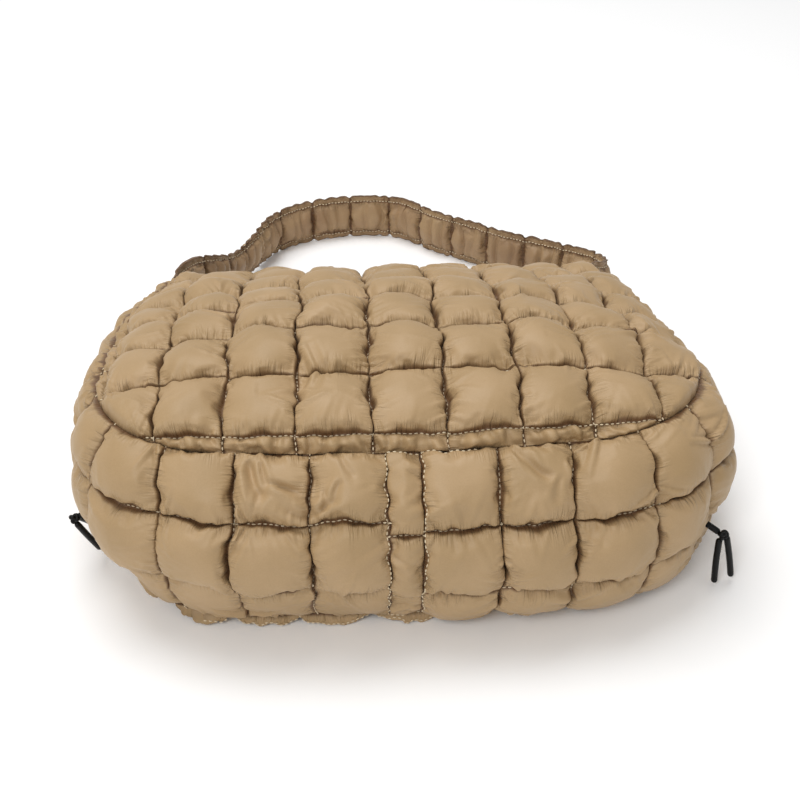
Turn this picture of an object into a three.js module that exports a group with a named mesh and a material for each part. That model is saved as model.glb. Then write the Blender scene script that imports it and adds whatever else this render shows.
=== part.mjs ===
// A quilted puffer tote bag lying on its back panel, as a scene graph of padded sewn pieces, in millimetres.
// +X runs across the bag, +Y from its rounded base to its open mouth and the strap beyond, +Z up.
// The origin is on the floor, in the middle of the flat underside of one back panel puff.
import * as THREE from "three";

// The cut of the cloth
const panelWidth = 524; // front and back panels, seam to seam across
const panelHeight = 400; // base seam to mouth edge
const cornerRadius = 118; // rounded base corners of both panels
const gussetWidth = 168; // the strip round the sides and base
const bandWidth = 24; // narrow joining band in the middle of the base
const bandCentre = -1; // along the base seam, from the middle of the bag
const cellPitch = 56; // quilting lines, both ways
const firstRow = 15; // first quilting line above the base seam
const frontColumn = -23; // one quilting line of the front panel, from the middle
const leastStrip = 8; // no quilting line nearer a seam

// Padding
const rimThickness = 3; // where the layers are sewn flat
const puffHeight = 11; // outer face above a quilting line
const liningPuff = 4; // inner face above a quilting line
const seamGap = 0.7; // between two pieces at a seam

// The stuffed form
const bodyWidth = 504; // between the side seams at the widest place
const bodyReach = 370; // from the base seam to the mouth, front panel
const stuffedHeight = 180; // front quilting lines above the floor at the crown
const baseBow = 26; // how far the front's base seam curves back at its ends
const baseOverhang = 22; // back panel's base seam, nearer the base than the front's
const floorRise = 9; // middle of the resting wall above the floor
const rowShifts = { left: -4, right: 3, band: 6 }; // gusset rows, which don't line up where they meet
const gussetBulge = 37; // outward curve of the gusset at the base
const restCell = 124; // from the front's first quilting line to the origin's puff

// Strap
const strapWidth = 54;
const strapThickness = 22;
const strapCell = 49; // quilting lines along the strap
const strapDrop = 277; // mouth to the far end of the loop
const strapRise = 0.4; // lower edge above the floor
const strapGap = 1.2; // from the mouth corner to the strap's end

// Cord pulls at both ends of the base
const cordDiameter = 5.2;
const knotWidth = 9.5;
const tailLength = 43;
const pullGap = 0.3; // between a knot and what comes out of it

// Front panel sections: shares of panelHeight, bodyReach, stuffedHeight (middle and side) and half bodyWidth
const frontSections = [
  { along: 0, reach: 0, middle: 0.822, side: 0.806, left: 0.955, right: 0.985 },
  { along: 0.0375, reach: 0.022, middle: 0.88, side: 0.812, left: 0.955, right: 0.985 },
  { along: 0.1775, reach: 0.17, middle: 0.972, side: 0.8, left: 0.955, right: 0.98 },
  { along: 0.3175, reach: 0.322, middle: 1, side: 0.767, left: 0.955, right: 0.96 },
  { along: 0.4575, reach: 0.47, middle: 0.956, side: 0.722, left: 0.957, right: 0.935 },
  { along: 0.5975, reach: 0.616, middle: 0.862, side: 0.672, left: 0.955, right: 0.925 },
  { along: 0.7375, reach: 0.754, middle: 0.75, side: 0.617, left: 0.93, right: 0.915 },
  { along: 0.825, reach: 0.838, middle: 0.672, side: 0.578, left: 0.9, right: 0.9 },
  { along: 0.9125, reach: 0.919, middle: 0.575, side: 0.55, left: 0.87, right: 0.873 },
  { along: 1, reach: 1, middle: 0.495, side: 0.528, left: 0.849, right: 0.849 },
];
// Back panel sections: shares of panelHeight, its own reach, floorRise (middle and side) and half bodyWidth
const backSections = [
  { along: 0, reach: 0, middle: 1.15, side: 1.55, left: 0.905, right: 1 },
  { along: 0.05, reach: 0.049, middle: 1, side: 1.55, left: 0.91, right: 1 },
  { along: 0.1775, reach: 0.178, middle: 1, side: 1.75, left: 0.92, right: 0.995 },
  { along: 0.3175, reach: 0.321, middle: 1, side: 2, left: 0.935, right: 0.98 },
  { along: 0.4575, reach: 0.464, middle: 1, side: 2.2, left: 0.95, right: 0.96 },
  { along: 0.5975, reach: 0.607, middle: 1, side: 2.45, left: 0.95, right: 0.94 },
  { along: 0.7375, reach: 0.75, middle: 1.3, side: 2.9, left: 0.93, right: 0.915 },
  { along: 0.825, reach: 0.837, middle: 2, side: 3.35, left: 0.905, right: 0.9 },
  { along: 0.9125, reach: 0.921, middle: 3.1, side: 4, left: 0.877, right: 0.877 },
  { along: 1, reach: 1, middle: 4.6, side: 4.9, left: 0.849, right: 0.849 },
];
// Gusset bulge: share of the seam's length from the middle of the base to the mouth, share of gussetBulge
const bulgeSections = [
  { along: 0, out: 1 },
  { along: 0.21, out: 0.97 },
  { along: 0.39, out: 0.64 },
  { along: 0.56, out: 0.38 },
  { along: 0.74, out: 0.29 },
  { along: 0.91, out: 0.2 },
  { along: 1, out: 0.1 },
];
// Strap route: share of half bodyWidth across, share of strapDrop past the mouth, share of the way up
// from lying on the floor to the mouth corner, lean of the upper edge in degrees
const strapRoute = [
  { across: -0.849, away: 0, lift: 1, lean: 0 },
  { across: -0.841, away: 0.08, lift: 1, lean: 3 },
  { across: -0.794, away: 0.2, lift: 0.9, lean: 8 },
  { across: -0.714, away: 0.326, lift: 0.69, lean: 11 },
  { across: -0.647, away: 0.488, lift: 0.4, lean: 11 },
  { across: -0.579, away: 0.651, lift: 0.18, lean: 7 },
  { across: -0.496, away: 0.831, lift: 0.04, lean: 4 },
  { across: -0.377, away: 0.936, lift: 0, lean: 0 },
  { across: -0.143, away: 1, lift: 0, lean: 0 },
  { across: 0.056, away: 0.997, lift: 0, lean: 0 },
  { across: 0.151, away: 0.958, lift: 0, lean: 0 },
  { across: 0.286, away: 0.831, lift: 0, lean: 0 },
  { across: 0.452, away: 0.716, lift: 0, lean: 0 },
  { across: 0.595, away: 0.618, lift: 0, lean: 0 },
  { across: 0.821, away: 0.496, lift: 0.014, lean: 0 },
  { across: 0.952, away: 0.38, lift: 0.108, lean: -2 },
  { across: 0.972, away: 0.236, lift: 0.34, lean: -4 },
  { across: 0.925, away: 0.117, lift: 0.67, lean: -4 },
  { across: 0.87, away: 0.045, lift: 0.92, lean: -2 },
  { across: 0.849, away: 0, lift: 1, lean: 0 },
];
// Strap section: share of half strapWidth, share of half strapThickness
const strapSection = [
  { across: -1, thick: 0.16 },
  { across: -0.78, thick: 0.22 },
  { across: -0.5, thick: 0.86 },
  { across: 0, thick: 1 },
  { across: 0.5, thick: 0.86 },
  { across: 0.78, thick: 0.22 },
  { across: 1, thick: 0.16 },
];
// Where each cord pull comes out: gusset seam share from the middle of the base to the mouth
const pulls = [
  { name: "left", along: -0.452 },
  { name: "right", along: 0.392 },
];
// Lean of the cord tails from straight down, in degrees to the right and away from the base
const tails = [
  { pull: "left", name: "a", across: 14, away: 20 },
  { pull: "left", name: "b", across: 14, away: 38 },
  { pull: "right", name: "a", across: 3, away: -3 },
  { pull: "right", name: "b", across: 14, away: 0 },
];
const knotDrop = 5.5; // knot's middle below that place
const loopDepth = 2; // cord's end above the bottom of the groove that it comes out of
const knotReach = 1.5; // clearance between the gusset and a knot

const colours = { shell: 0xb69a73, strap: 0x9c8260, cord: 0x141414 };
const shellCloth = new THREE.MeshStandardMaterial({ color: colours.shell, roughness: 0.62, metalness: 0 });
const strapCloth = new THREE.MeshStandardMaterial({ color: colours.strap, roughness: 0.66, metalness: 0 });
const cordBlack = new THREE.MeshStandardMaterial({ color: colours.cord, roughness: 0.5, metalness: 0 });

const halfPanel = panelWidth / 2;
const straightBase = halfPanel - cornerRadius;
const cornerArc = (cornerRadius * Math.PI) / 2;
const seamLength = straightBase + cornerArc + panelHeight - cornerRadius; // middle of the base to the mouth

const mix = (a, b, share) => a + (b - a) * share;
const clamp = (value, low, high) => Math.min(high, Math.max(low, value));

// A smooth curve through one column of a table.
function smooth(table, column, along) {
  const slope = (i) => (table[i + 1][column] - table[i][column]) / (table[i + 1].along - table[i].along);
  const step = (i) => table[i + 1].along - table[i].along;
  const last = table.length - 1;
  const tangent = (i) => {
    if (i === 0) return slope(0);
    if (i === last) return slope(last - 1);
    return (slope(i - 1) * step(i) + slope(i) * step(i - 1)) / (step(i) + step(i - 1));
  };
  let k = 0;
  while (k < last - 1 && along > table[k + 1].along) k++;
  const u = (along - table[k].along) / step(k);
  const from = table[k][column];
  const to = table[k + 1][column];
  return (
    (2 * u ** 3 - 3 * u ** 2 + 1) * from +
    (u ** 3 - 2 * u ** 2 + u) * step(k) * tangent(k) +
    (-2 * u ** 3 + 3 * u ** 2) * to +
    (u ** 3 - u ** 2) * step(k) * tangent(k + 1)
  );
}

// Cloth coordinates (across, up from the base seam) of a panel to its place in the stuffed bag.
const crowns = { front: 2.6, back: 4 }; // the higher, the flatter across
function panelPoint(sections, baseY, reach, heightUnit, bow, crown, across, up) {
  const along = up / panelHeight;
  const half = (smooth(sections, across < 0 ? "left" : "right", along) * bodyWidth) / 2;
  const q = across / halfPanel;
  const fullness = halfPanel / half;
  const middle = smooth(sections, "middle", along) * heightUnit;
  const side = smooth(sections, "side", along) * heightUnit;
  return new THREE.Vector3(
    half * (fullness * q + (1 - fullness) * q ** 3),
    baseY + smooth(sections, "reach", along) * reach + bow * q * q * Math.max(0, 1 - along) ** 2 - restCell,
    side + (middle - side) * (1 - Math.abs(q) ** crown),
  );
}
const frontBase = -firstRow / 2;
const frontPoint = (across, up) =>
  panelPoint(frontSections, frontBase, bodyReach, stuffedHeight, baseBow, crowns.front, across, up);
const backBase = frontBase - baseOverhang;
const backReach = bodyReach + baseOverhang;
const backPoint = (across, up) =>
  panelPoint(backSections, backBase, backReach, floorRise, baseBow / 2, crowns.back, across, up);

// A place on the panels' outline, by its distance along the seam from the middle of the base.
function outline(distance) {
  const side = Math.sign(distance);
  const run = Math.abs(distance);
  if (run < straightBase) return [distance, 0];
  if (run < straightBase + cornerArc) {
    const turn = (run - straightBase) / cornerRadius;
    return [side * (straightBase + cornerRadius * Math.sin(turn)), cornerRadius * (1 - Math.cos(turn))];
  }
  return [side * halfPanel, cornerRadius + run - straightBase - cornerArc];
}

// Gusset cloth (distance along the seam, down from the front seam) to its place: an arc between the two seams.
function gussetPoint(distance, down) {
  const probe = 1;
  const from = frontPoint(...outline(distance));
  const to = backPoint(...outline(distance));
  const ahead = clamp(distance + probe, -seamLength, seamLength);
  const behind = clamp(distance - probe, -seamLength, seamLength);
  const run = frontPoint(...outline(ahead))
    .sub(frontPoint(...outline(behind)))
    .add(backPoint(...outline(ahead)))
    .sub(backPoint(...outline(behind)));
  const chord = to.clone().sub(from);
  const length = chord.length();
  const outwards = new THREE.Vector3().crossVectors(chord, run).normalize();
  const sag = smooth(bulgeSections, "out", Math.abs(distance) / seamLength) * gussetBulge;
  const halfAngle = 2 * Math.atan((2 * sag) / length);
  const radius = length / 2 / Math.sin(halfAngle);
  const angle = ((2 * down) / gussetWidth - 1) * halfAngle;
  const place = from.clone().addScaledVector(chord, 0.5 + (Math.sin(angle) * radius) / length);
  return place.addScaledVector(outwards, (Math.cos(angle) - Math.cos(halfAngle)) * radius);
}

// The outward normal of a cloth surface.
const probeStep = 0.5;
function normalOf(pointAt, facing, x, y) {
  const acrossRun = pointAt(x + probeStep, y).sub(pointAt(x - probeStep, y));
  const upRun = pointAt(x, y + probeStep).sub(pointAt(x, y - probeStep));
  return new THREE.Vector3().crossVectors(acrossRun, upRun).normalize().multiplyScalar(facing);
}

// Distance along the seam of a cloth point of a panel's edge.
function seamDistance(x, y) {
  const reach = Math.abs(x) - straightBase;
  const drop = cornerRadius - y;
  if (reach <= 0) return x;
  if (drop <= 0) return Math.sign(x) * (straightBase + cornerArc - drop);
  return Math.sign(x) * (straightBase + cornerRadius * Math.atan2(reach, drop));
}

// Two pieces meet at a seam in a mitre: the direction of its plane, long enough for the full thickness.
function mitre(pointAt, facing, distance, down) {
  const panelNormal = normalOf(pointAt, facing, ...outline(distance));
  const gussetNormal = normalOf(gussetPoint, -1, distance, down);
  const bisector = panelNormal.add(gussetNormal).normalize();
  return bisector.divideScalar(bisector.dot(gussetNormal));
}

// Quilting lines between two ends of a cloth, at a pitch from one of them.
function quiltLines(low, high, first, pitch) {
  const lines = [low];
  for (let k = Math.ceil((low - first) / pitch); first + k * pitch < high; k++) {
    const line = first + k * pitch;
    if (line > low + leastStrip && line < high - leastStrip) lines.push(line);
  }
  return [...lines, high];
}

// The stops of a mesh: each quilting line and the given shares of each cell.
function stops(lines, shares) {
  const found = [];
  for (let i = 0; i + 1 < lines.length; i++)
    for (const share of shares) found.push(mix(lines[i], lines[i + 1], share));
  return [...found, lines[lines.length - 1]];
}

// 0 on a quilting line, 1 in the middle of a full cell, and less in a narrow one.
const puffPower = 0.3;
function swell(lines, value) {
  for (let i = 0; i + 1 < lines.length; i++)
    if (value <= lines[i + 1] || i + 2 === lines.length) {
      const width = lines[i + 1] - lines[i];
      const share = clamp((value - lines[i]) / width, 0, 1);
      return Math.sin(Math.PI * share) ** puffPower * Math.min(1, width / cellPitch);
    }
}

// Cuts a polygon of cloth points down to a convex, anticlockwise outline.
function clipTo(border, polygon) {
  let kept = polygon;
  border.forEach(([ax, ay], i) => {
    const [bx, by] = border[(i + 1) % border.length];
    const depth = ([x, y]) => (bx - ax) * (y - ay) - (by - ay) * (x - ax);
    const next = [];
    kept.forEach((point, j) => {
      const after = kept[(j + 1) % kept.length];
      const here = depth(point);
      const there = depth(after);
      if (here >= 0) next.push(point);
      if (here >= 0 !== there >= 0) {
        const share = here / (here - there);
        next.push([mix(point[0], after[0], share), mix(point[1], after[1], share)]);
      }
    });
    kept = next;
  });
  return kept;
}

// A padded wall: cloth polygons become an outer and an inner skin round the middle surface, joined at the rim.
const mergeScale = 200; // cloth points closer than its inverse are one
function paddedWall(name, polygons, pointAt, normalAt, swellAt, facing) {
  const index = new Map();
  const places = [];
  const numberOf = ([x, y]) => {
    const key = Math.round(x * mergeScale) + "," + Math.round(y * mergeScale);
    if (!index.has(key)) {
      index.set(key, places.length);
      places.push([x, y]);
    }
    return index.get(key);
  };
  const faces = [];
  for (const polygon of polygons) {
    const ring = polygon.map(numberOf).filter((v, i, all) => v !== all[(i + 1) % all.length]);
    for (let i = 1; i + 1 < ring.length; i++) faces.push([ring[0], ring[i], ring[i + 1]]);
  }
  const outer = [];
  const inner = [];
  for (const [x, y] of places) {
    const middle = pointAt(x, y);
    const normal = normalAt(x, y);
    const share = swellAt(x, y);
    const out = middle.clone().addScaledVector(normal, rimThickness / 2 + puffHeight * share);
    out.z = Math.max(0, out.z); // the floor presses the puffs flat
    outer.push(out);
    inner.push(middle.clone().addScaledVector(normal, -rimThickness / 2 - liningPuff * share));
  }
  const count = places.length;
  const triangles = [];
  const edges = new Map();
  for (const [a, b, c] of faces) {
    const ring = facing > 0 ? [a, b, c] : [a, c, b];
    triangles.push(ring, [ring[0] + count, ring[2] + count, ring[1] + count]);
    ring.forEach((v, i) => edges.set(v + "," + ring[(i + 1) % 3], [v, ring[(i + 1) % 3]]));
  }
  for (const [from, to] of edges.values())
    if (!edges.has(to + "," + from))
      triangles.push([to, from, from + count], [to, from + count, to + count]);
  return solid(name, [...outer, ...inner], triangles, shellCloth);
}

function solid(name, points, triangles, material) {
  const geometry = new THREE.BufferGeometry();
  geometry.setAttribute("position", new THREE.Float32BufferAttribute(points.flatMap((p) => [p.x, p.y, p.z]), 3));
  geometry.setIndex(triangles.flat());
  geometry.computeVertexNormals();
  const mesh = new THREE.Mesh(geometry, material);
  mesh.name = name;
  return mesh;
}

// A grid of cloth cells between two lists of stops.
function clothGrid(acrossStops, upStops) {
  const cells = [];
  for (let i = 0; i + 1 < acrossStops.length; i++)
    for (let j = 0; j + 1 < upStops.length; j++) {
      const [x0, x1] = [acrossStops[i], acrossStops[i + 1]];
      const [y0, y1] = [upStops[j], upStops[j + 1]];
      cells.push([[x0, y0], [x1, y0], [x1, y1], [x0, y1]]);
    }
  return cells;
}

const puffStops = [0, 0.25, 0.75];
const leftBandEdge = bandCentre - bandWidth / 2;
const rightBandEdge = bandCentre + bandWidth / 2;
const leftColumns = quiltLines(-seamLength, leftBandEdge, leftBandEdge, cellPitch);
const rightColumns = quiltLines(rightBandEdge, seamLength, rightBandEdge, cellPitch);
const seamRun = [
  ...stops(leftColumns, puffStops),
  ...stops([leftBandEdge, rightBandEdge], puffStops).slice(1),
  ...stops(rightColumns, puffStops).slice(1),
];

// A front or back panel: quilted cells trimmed to the rounded outline.
const onSeam = 1.5; // cloth this near a seam belongs to its mitre
function panel(name, pointAt, column, facing) {
  const columns = quiltLines(-halfPanel, halfPanel, column, cellPitch);
  const rows = quiltLines(0, panelHeight, firstRow, cellPitch);
  const border = seamRun.map(outline);
  const sideDistance = ([x, y]) => {
    const reach = Math.max(0, Math.abs(x) - straightBase);
    const drop = Math.max(0, cornerRadius - y);
    return y < cornerRadius ? cornerRadius - Math.hypot(reach, drop) : halfPanel - Math.abs(x);
  };
  const inset = ([x, y]) => [x * (1 - seamGap / panelWidth), y + seamGap / 2];
  const polygons = clothGrid(stops(columns, puffStops), stops(rows, puffStops))
    .map((cell) => clipTo(border, cell))
    .filter((cell) => cell.length > 2)
    .map((cell) => cell.map(inset));
  const rimRun = cellPitch / 4;
  const swellAt = (x, y) => {
    const edge = clamp((sideDistance([x, y]) - onSeam) / rimRun, 0, 1);
    return swell(columns, x) * swell(rows, y) * edge;
  };
  const down = facing > 0 ? 0 : gussetWidth;
  const normalAt = (x, y) =>
    sideDistance([x, y]) < onSeam
      ? mitre(pointAt, facing, seamDistance(x, y), down)
      : normalOf(pointAt, facing, x, y);
  return paddedWall(name, polygons, pointAt, normalAt, swellAt, facing);
}

// A stretch of the gusset between two distances along the seam.
function gussetStretch(name, columns, rowShift) {
  const rows = quiltLines(0, gussetWidth, cellPitch + rowShift, cellPitch);
  const downStops = stops(rows, puffStops);
  downStops[0] = seamGap / 2;
  downStops[downStops.length - 1] = gussetWidth - seamGap / 2;
  const acrossStops = stops(columns, puffStops);
  acrossStops[0] += seamGap / 2;
  acrossStops[acrossStops.length - 1] -= seamGap / 2;
  const swellAt = (x, y) => swell(columns, x) * swell(rows, y);
  const normalAt = (x, y) => {
    if (y < onSeam) return mitre(frontPoint, 1, x, 0);
    if (y > gussetWidth - onSeam) return mitre(backPoint, -1, x, gussetWidth);
    return normalOf(gussetPoint, -1, x, y);
  };
  return paddedWall(name, clothGrid(acrossStops, downStops), gussetPoint, normalAt, swellAt, -1);
}

// The strap: one closed tube of sections along a smooth route, pinched at each quilting line.
function strap() {
  const cornerFront = frontPoint(halfPanel, panelHeight);
  const cornerBack = backPoint(halfPanel, panelHeight);
  const cornerHeight = (cornerFront.z + cornerBack.z) / 2;
  const lowest = strapRise + strapWidth / 2;
  const route = new THREE.CatmullRomCurve3(
    strapRoute.map(
      ({ across, away, lift }) =>
        new THREE.Vector3(
          (across * bodyWidth) / 2,
          cornerFront.y + strapGap + away * strapDrop,
          mix(lowest, cornerHeight, lift),
        ),
    ),
    false,
    "centripetal",
  );
  const length = route.getLength();
  const cells = Math.round(length / strapCell);
  const rootShare = 0.35; // both ends are gathered thin where they are sewn to the gusset
  const pinch = 0.55; // thickness left at a quilting line
  const stations = stops([...Array(cells + 1).keys()].map((k) => k / cells), puffStops);
  const points = [];
  for (const at of stations) {
    const middle = route.getPointAt(at);
    const ahead = at % 1 === 0 ? new THREE.Vector3(0, 1 - 2 * at, 0) : route.getTangentAt(at);
    const sideways = new THREE.Vector3().crossVectors(ahead, new THREE.Vector3(0, 0, 1)).normalize();
    const u = route.getUtoTmapping(at) * (strapRoute.length - 1);
    const row = Math.min(strapRoute.length - 2, Math.floor(u));
    const lean = THREE.MathUtils.degToRad(mix(strapRoute[row].lean, strapRoute[row + 1].lean, u - row));
    const widthWay = new THREE.Vector3().crossVectors(sideways, ahead).applyAxisAngle(ahead, lean);
    const thickWay = sideways.applyAxisAngle(ahead, lean);
    const fromEnd = Math.min(at, 1 - at) * cells;
    const phase = (at * cells) % 1;
    const full = Math.min(phase, 1 - phase) < 1e-6 ? pinch : 1;
    const root = clamp(mix(rootShare, 1, fromEnd), rootShare, 1);
    const place = (across, thick) =>
      middle
        .clone()
        .addScaledVector(widthWay, (across * strapWidth) / 2)
        .addScaledVector(thickWay, (thick * full * root * strapThickness) / 2);
    const ring = [
      ...strapSection.map(({ across, thick }) => place(across, thick)),
      ...[...strapSection].reverse().map(({ across, thick }) => place(across, -thick)),
    ];
    for (const point of ring) point.z = Math.max(strapRise / 2, point.z);
    points.push(...ring);
  }
  const around = 2 * strapSection.length;
  const triangles = [];
  for (let i = 0; i + 1 < stations.length; i++)
    for (let j = 0; j < around; j++) {
      const [a, b] = [i * around + j, i * around + ((j + 1) % around)];
      triangles.push([a, b + around, b], [a, a + around, b + around]);
    }
  const lastRing = (stations.length - 1) * around;
  for (let j = 1; j + 1 < around; j++) {
    triangles.push([0, j, j + 1]);
    triangles.push([lastRing, lastRing + j + 1, lastRing + j]);
  }
  return solid("strap", points, triangles, strapCloth);
}

// A round cord of flat-ended sections along a list of points.
function cordTube(name, places, diameter) {
  const sides = 8;
  const section = new THREE.Shape();
  for (let k = 0; k < sides; k++) {
    const angle = (2 * Math.PI * k) / sides;
    const corner = [(Math.cos(angle) * diameter) / 2, (Math.sin(angle) * diameter) / 2];
    if (k === 0) section.moveTo(...corner);
    else section.lineTo(...corner);
  }
  const path = new THREE.CatmullRomCurve3(places, false, "centripetal");
  const steps = Math.max(2, Math.round(path.getLength() / (2 * diameter)));
  const geometry = new THREE.ExtrudeGeometry(section, { steps, extrudePath: path, bevelEnabled: false });
  const mesh = new THREE.Mesh(geometry, cordBlack);
  mesh.name = name;
  return mesh;
}

// One pull: a short loop out of the gusset, a knot, and two tails that hang down to the floor.
function cordPull({ name, along }) {
  const pull = new THREE.Group();
  const distance = along * seamLength;
  const down = 2 * cellPitch + rowShifts[name]; // the lower quilting line
  const exit = gussetPoint(distance, down);
  const run = gussetPoint(distance + 1, down).sub(gussetPoint(distance - 1, down)).setZ(0).normalize();
  const outwards = new THREE.Vector3(run.y, -run.x, 0);
  const clear = rimThickness / 2 + puffHeight + knotReach;
  const knotPlace = exit.clone().addScaledVector(outwards, clear + knotWidth / 2);
  knotPlace.z -= knotDrop;
  const knot = new THREE.Mesh(new THREE.SphereGeometry(knotWidth / 2, 12, 8), cordBlack);
  knot.name = "pull_knot_" + name;
  knot.position.copy(knotPlace);
  pull.add(knot);

  const surface = exit.clone().addScaledVector(outwards, rimThickness / 2 + loopDepth);
  const fromKnot = surface.clone().sub(knotPlace).normalize();
  const loopEnd = knotPlace.clone().addScaledVector(fromKnot, knotWidth / 2 + pullGap);
  pull.add(cordTube("pull_loop_" + name, [surface, surface.clone().lerp(loopEnd, 0.5), loopEnd], cordDiameter));

  const ends = tails.filter((tail) => tail.pull === name);
  const directions = ends.map(({ across, away }) => {
    const slope = (angle) => Math.tan(THREE.MathUtils.degToRad(angle));
    return new THREE.Vector3(slope(across), slope(away), -1).normalize();
  });
  const apart = directions[1].clone().sub(directions[0]).setZ(0);
  ends.forEach((tail, i) => {
    const square = apart.clone().addScaledVector(directions[i], -apart.dot(directions[i])).normalize();
    const top = knotPlace
      .clone()
      .addScaledVector(square, (i - 0.5) * (cordDiameter + 2 * pullGap))
      .addScaledVector(directions[i], knotWidth / 2 + pullGap);
    const places = [0, 0.5, 1].map((share) => top.clone().addScaledVector(directions[i], share * tailLength));
    pull.add(cordTube("pull_tail_" + tail.name + "_" + name, places, cordDiameter));
  });
  return pull;
}

const bag = new THREE.Group();
bag.add(panel("front_panel", frontPoint, frontColumn, 1));
bag.add(panel("back_panel", backPoint, cellPitch / 2, -1));
bag.add(gussetStretch("gusset_left", leftColumns, rowShifts.left));
bag.add(gussetStretch("gusset_right", rightColumns, rowShifts.right));
bag.add(gussetStretch("base_band", [leftBandEdge, rightBandEdge], rowShifts.band));
bag.add(strap());
for (const pull of pulls) bag.add(cordPull(pull));

export default bag;
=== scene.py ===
from math import cos, pi, radians, sin, tan

import bpy
import numpy as np
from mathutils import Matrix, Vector


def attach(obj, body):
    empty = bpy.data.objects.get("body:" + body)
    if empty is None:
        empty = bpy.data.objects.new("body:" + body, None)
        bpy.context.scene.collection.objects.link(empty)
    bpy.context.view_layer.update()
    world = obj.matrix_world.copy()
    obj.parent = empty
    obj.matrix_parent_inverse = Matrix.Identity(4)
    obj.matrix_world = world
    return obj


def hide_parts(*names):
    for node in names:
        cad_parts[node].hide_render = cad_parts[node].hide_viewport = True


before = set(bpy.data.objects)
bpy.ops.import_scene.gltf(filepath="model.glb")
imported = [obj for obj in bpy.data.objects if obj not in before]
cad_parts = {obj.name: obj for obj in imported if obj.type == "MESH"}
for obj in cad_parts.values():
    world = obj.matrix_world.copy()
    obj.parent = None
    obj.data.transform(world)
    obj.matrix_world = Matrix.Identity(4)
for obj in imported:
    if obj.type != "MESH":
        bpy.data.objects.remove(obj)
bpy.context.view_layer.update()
scene = bpy.context.scene
mm = 0.001
sameSpot = 0.02  # points of the cloth closer than this to a line lie on it

# Lengths are in millimetres here, as in the part's own drawing, and go to metres when a mesh is made.
# The bag's cut, the same as the solids'.
cut = {
    "panelWidth": 524, "panelHeight": 400, "cornerRadius": 118, "gussetWidth": 168,
    "bandWidth": 24, "bandCentre": -1, "pitch": 56, "firstRow": 15, "frontColumn": -23,
    "leastStrip": 8, "rim": 3, "liningPuff": 4, "seamGap": 0.25,
    "gridStep": 2.55,  # cloth grid while it is simulated, halved afterwards for the gathers
    "closer": 0.35,  # how much closer its threads lie beside a quilting line
    "narrow": 20,  # a strip below this width is ruffled across
}
# The bag as it lies, stuffed
lying = {
    "bodyWidth": 504, "bodyReach": 370, "height": 180, "baseBow": 26, "baseOverhang": 22,
    "floorRise": 9, "bulge": 37, "restCell": 124, "frontCrown": 2.6, "backCrown": 4,
    "rowShift": {"left": -4, "right": 3, "band": 6}, "lowRowPuff": {"left": 0.4, "right": 0.8, "band": 0.6},
    "lip": 21, "lipEnd": 70, "lipFade": 50, "sideFade": 60,
}
# along, reach, middle, side, left, right
frontSections = np.array([
    (0, 0, 0.822, 0.806, 0.955, 0.985),
    (0.0375, 0.022, 0.88, 0.812, 0.955, 0.985),
    (0.1775, 0.17, 0.972, 0.8, 0.955, 0.98),
    (0.3175, 0.322, 1, 0.767, 0.955, 0.96),
    (0.4575, 0.47, 0.956, 0.722, 0.957, 0.935),
    (0.5975, 0.616, 0.862, 0.672, 0.955, 0.925),
    (0.7375, 0.754, 0.75, 0.617, 0.93, 0.915),
    (0.825, 0.838, 0.672, 0.578, 0.9, 0.9),
    (0.9125, 0.919, 0.575, 0.55, 0.87, 0.873),
    (1, 1, 0.495, 0.528, 0.849, 0.849),
])
backSections = np.array([
    (0, 0, 1.15, 1.55, 0.905, 1),
    (0.05, 0.049, 1, 1.55, 0.91, 1),
    (0.1775, 0.178, 1, 1.75, 0.92, 0.995),
    (0.3175, 0.321, 1, 2, 0.935, 0.98),
    (0.4575, 0.464, 1, 2.2, 0.95, 0.96),
    (0.5975, 0.607, 1, 2.45, 0.95, 0.94),
    (0.7375, 0.75, 1.3, 2.9, 0.93, 0.915),
    (0.825, 0.837, 2, 3.35, 0.905, 0.9),
    (0.9125, 0.921, 3.1, 4, 0.877, 0.877),
    (1, 1, 4.6, 4.9, 0.849, 0.849),
])
bulgeSections = np.array([
    (0, 1), (0.21, 0.97), (0.39, 0.64), (0.56, 0.38), (0.74, 0.29), (0.91, 0.2), (1, 0.1),
])


def smoothCurve(table, column, along):
    x, y = table[:, 0], table[:, column]
    step = np.diff(x)
    slope = np.diff(y) / step
    tangent = np.concatenate([
        slope[:1],
        (slope[:-1] * step[1:] + slope[1:] * step[:-1]) / (step[1:] + step[:-1]),
        slope[-1:],
    ])
    k = np.clip(np.searchsorted(x, along, side="left") - 1, 0, len(step) - 1)
    u = (along - x[k]) / step[k]
    return (
        (2 * u**3 - 3 * u**2 + 1) * y[k] + (u**3 - 2 * u**2 + u) * step[k] * tangent[k]
        + (-2 * u**3 + 3 * u**2) * y[k + 1] + (u**3 - u**2) * step[k] * tangent[k + 1]
    )


halfPanel = cut["panelWidth"] / 2
straightBase = halfPanel - cut["cornerRadius"]
cornerArc = cut["cornerRadius"] * pi / 2
seamLength = straightBase + cornerArc + cut["panelHeight"] - cut["cornerRadius"]
frontBase = -cut["firstRow"] / 2


def panelPoint(sections, base, reach, height, bow, crown, across, up):
    along = up / cut["panelHeight"]
    share = np.where(across < 0, smoothCurve(sections, 4, along), smoothCurve(sections, 5, along))
    half = share * lying["bodyWidth"] / 2
    q = across / halfPanel
    fullness = halfPanel / half
    middle = smoothCurve(sections, 2, along) * height
    side = smoothCurve(sections, 3, along) * height
    return np.stack([
        half * (fullness * q + (1 - fullness) * q**3),
        base + smoothCurve(sections, 1, along) * reach
        + bow * q * q * np.maximum(0, 1 - along) ** 2 - lying["restCell"],
        side + (middle - side) * (1 - np.abs(q) ** crown),
    ], axis=-1)


def frontPoint(across, up):
    return panelPoint(
        frontSections, frontBase, lying["bodyReach"], lying["height"], lying["baseBow"], lying["frontCrown"],
        across, up,
    )


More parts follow.
